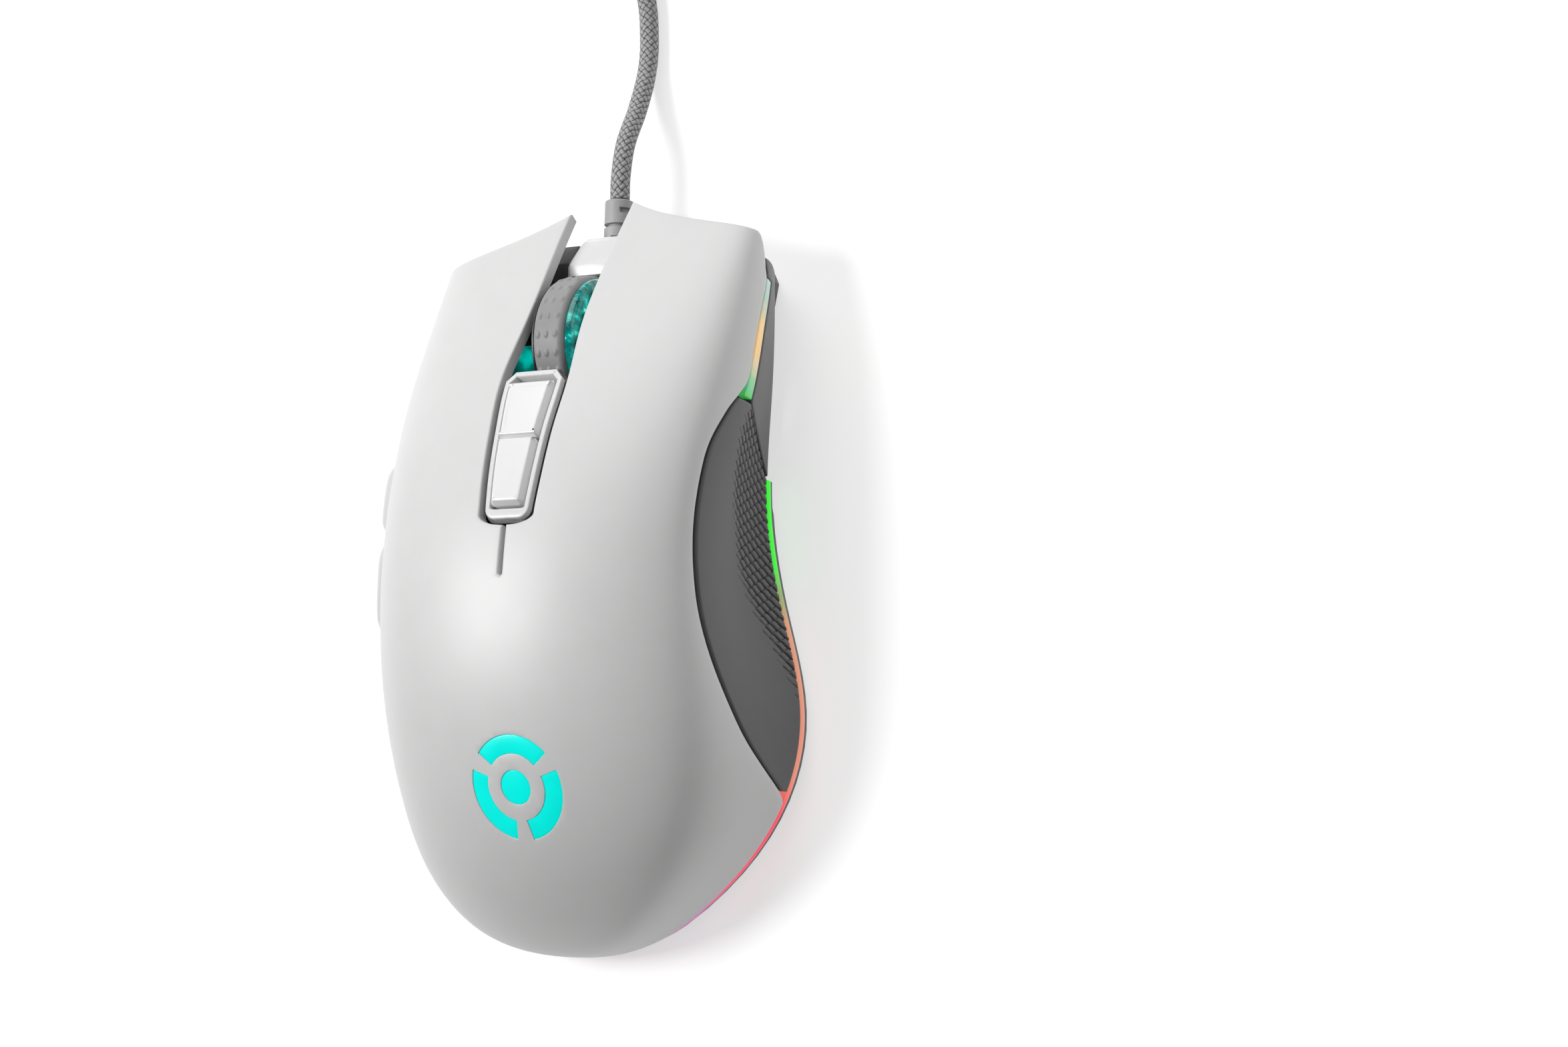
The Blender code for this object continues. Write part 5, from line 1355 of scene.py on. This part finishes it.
def add_plug():
    """The USB plug: a moulded grip with ribs, and a steel sleeve round the contacts."""
    body = [softened(faceted_bar(PLUG_X, PLUG_Z, PLUG_GRIP), 0.5)]
    body += [plug_block((-8.0, 8.0), (y, y + 0.9), (-2.6, 2.6), 0.04, 1) for y in PLUG_RIBS_Y]
    start, end = SLEEVE_Y
    half, high = SLEEVE_HALF
    walls = [plug_block(x, SLEEVE_Y, (-high, high), 0.1)
             for x in ((-half, SLEEVE_WALL - half), (half - SLEEVE_WALL, half))]
    for z in ((-high, SLEEVE_WALL - high), (high - SLEEVE_WALL, high)):
        walls += [plug_block(x, SLEEVE_Y, z, 0.05) for x in SLEEVE_SOLID_X]
        for x in SLEEVE_WINDOW_X:
            walls.append(plug_block(x, (start, SLEEVE_WINDOW_Y[0]), z, 0.05))
            walls.append(plug_block(x, (SLEEVE_WINDOW_Y[1], end), z, 0.05))
    tongue = plug_block((-5.5, 5.5), (start + 0.7, end), (-1.8, 0.1), 0.1)
    bars = [plug_block((x - 0.55, x + 0.55), (start + 1.2, end), (0.1, 0.25), 0.04, 1)
            for x in CONTACTS_X]
    return (make_piece("usb_plug_grip_skin", body, black, "casing",
                       ["usb_plug_grip"]),
            make_piece("usb_plug_sleeve", walls, steel, "casing", ["usb_plug_shell"]),
            make_piece("usb_plug_tongue", [tongue], white, "casing"),
            make_piece("usb_plug_contacts", bars, brass, "casing"))


def faceted_bar(x, z, stations):
    """A chamfered bar along y; stations hold (y, half width, half height)."""
    cut = 1.1
    loops = []
    for y, half, high in stations:
        loops.append([(x + sx * (half - cut * kx), y, z + sz * (high - cut * kz))
                      for sx, sz, kx, kz in ((1, -1, 1, 0), (1, -1, 0, 1), (1, 1, 0, 1),
                                             (1, 1, 1, 0), (-1, 1, 1, 0), (-1, 1, 0, 1),
                                             (-1, -1, 0, 1), (-1, -1, 1, 0))])
    return loft(loops)


# ---- camera and studio -----------------------------------------------------------------------
# lengths in this section are in metres
CAMERA_PLACE = (0.240555, -0.054168, 0.387108)
CAMERA_TURN = (0.156776, 0.496167, 0.032663)
CAMERA_LENS = 61.294
FLOOR_REACH = 3.0
FLOOR_Z = -0.0001               # just under the feet
LIGHT_AIM = Vector((0.0, 0.0, 0.02))
LIGHT_DISTANCE = 1.4
LIGHTS = {"key": ((-0.57, 0.06, 0.82), 0.53, 15.8), "front": ((-0.10, 0.80, 0.60), 1.4, 12.0),
          "fill": ((0.75, 0.45, 0.50), 1.0, 3.2)}       # direction, size and power of each


def place_camera():
    """The camera, above and to the right of the mouse."""
    data = bpy.data.cameras.new("camera")
    data.sensor_fit = "HORIZONTAL"
    data.sensor_width = 36.0
    data.lens = CAMERA_LENS
    data.clip_start = 0.01
    made = bpy.data.objects.new("camera", data)
    made.location = CAMERA_PLACE
    made.rotation_euler = CAMERA_TURN
    bpy.context.scene.collection.objects.link(made)
    bpy.context.scene.camera = made


def soft_light(name, direction, size, power):
    """A round soft light that points at the mouse."""
    data = bpy.data.lights.new(name, "AREA")
    data.shape = "DISK"
    data.size = size
    data.energy = power
    made = bpy.data.objects.new(name, data)
    way = Vector(direction).normalized()
    made.location = LIGHT_AIM + way * LIGHT_DISTANCE
    made.rotation_euler = way.to_track_quat("Z", "Y").to_euler()
    bpy.context.scene.collection.objects.link(made)


def add_studio():
    """A pale floor, an even pale surround and soft lights from the left, front and right."""
    mesh = bpy.data.meshes.new("floor")
    corners = [(-1, -1), (1, -1), (1, 1), (-1, 1)]
    mesh.from_pydata([(x * FLOOR_REACH, y * FLOOR_REACH, FLOOR_Z) for x, y in corners], [],
                     [(0, 1, 2, 3)])
    floor = bpy.data.objects.new("floor", mesh)
    paper = Finish("floor_paper", (0.55, 0.55, 0.55), 0.9, Emission_Strength=0.60)
    paper.shader.inputs["Emission Color"].default_value = (1.0, 1.0, 1.0, 1.0)
    mesh.materials.append(paper.made)
    bpy.context.scene.collection.objects.link(floor)
    world = bpy.data.worlds.new("surround")
    world.use_nodes = True
    background = world.node_tree.nodes["Background"].inputs
    background["Color"].default_value = (1.0, 1.0, 1.0, 1.0)
    background["Strength"].default_value = 0.05
    bpy.context.scene.world = world
    for name, (direction, size, power) in LIGHTS.items():
        soft_light(name, direction, size, power)
    view = bpy.context.scene.view_settings
    view.view_transform = "Standard"
    view.look = "None"


add_main_buttons()
add_palm()
add_sides()
add_light_guide()
add_side_buttons()
add_dpi_controls()
add_wheel()
add_nose()
add_relief()
add_cable()
PLAIN = {                       # the CAD nodes that stay, and their finish
    panel: ["base_tray"], lens: ["sensor_lens", "emblem_led"],
    board: ["main_board", "side_board", "dpi_board"],
    black: ["wheel_carrier", "sensor", "dpi_board_post", "scroll_encoder", "left_main_switch",
            "right_main_switch", "side_switch_forward", "side_switch_back", "wheel_click_switch",
            "dpi_up_switch", "dpi_down_switch"],
    steel: ["wheel_axle", "base_screw_1", "base_screw_2", "base_screw_3", "base_screw_4"],
    glide: ["front_foot", "rear_foot", "right_foot", "left_foot"],
    white: ["cable_connector"],
}
for finish, nodes in PLAIN.items():
    for node in nodes:
        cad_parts[node].data.materials.clear()
        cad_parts[node].data.materials.append(finish.made)
place_camera()
add_studio()
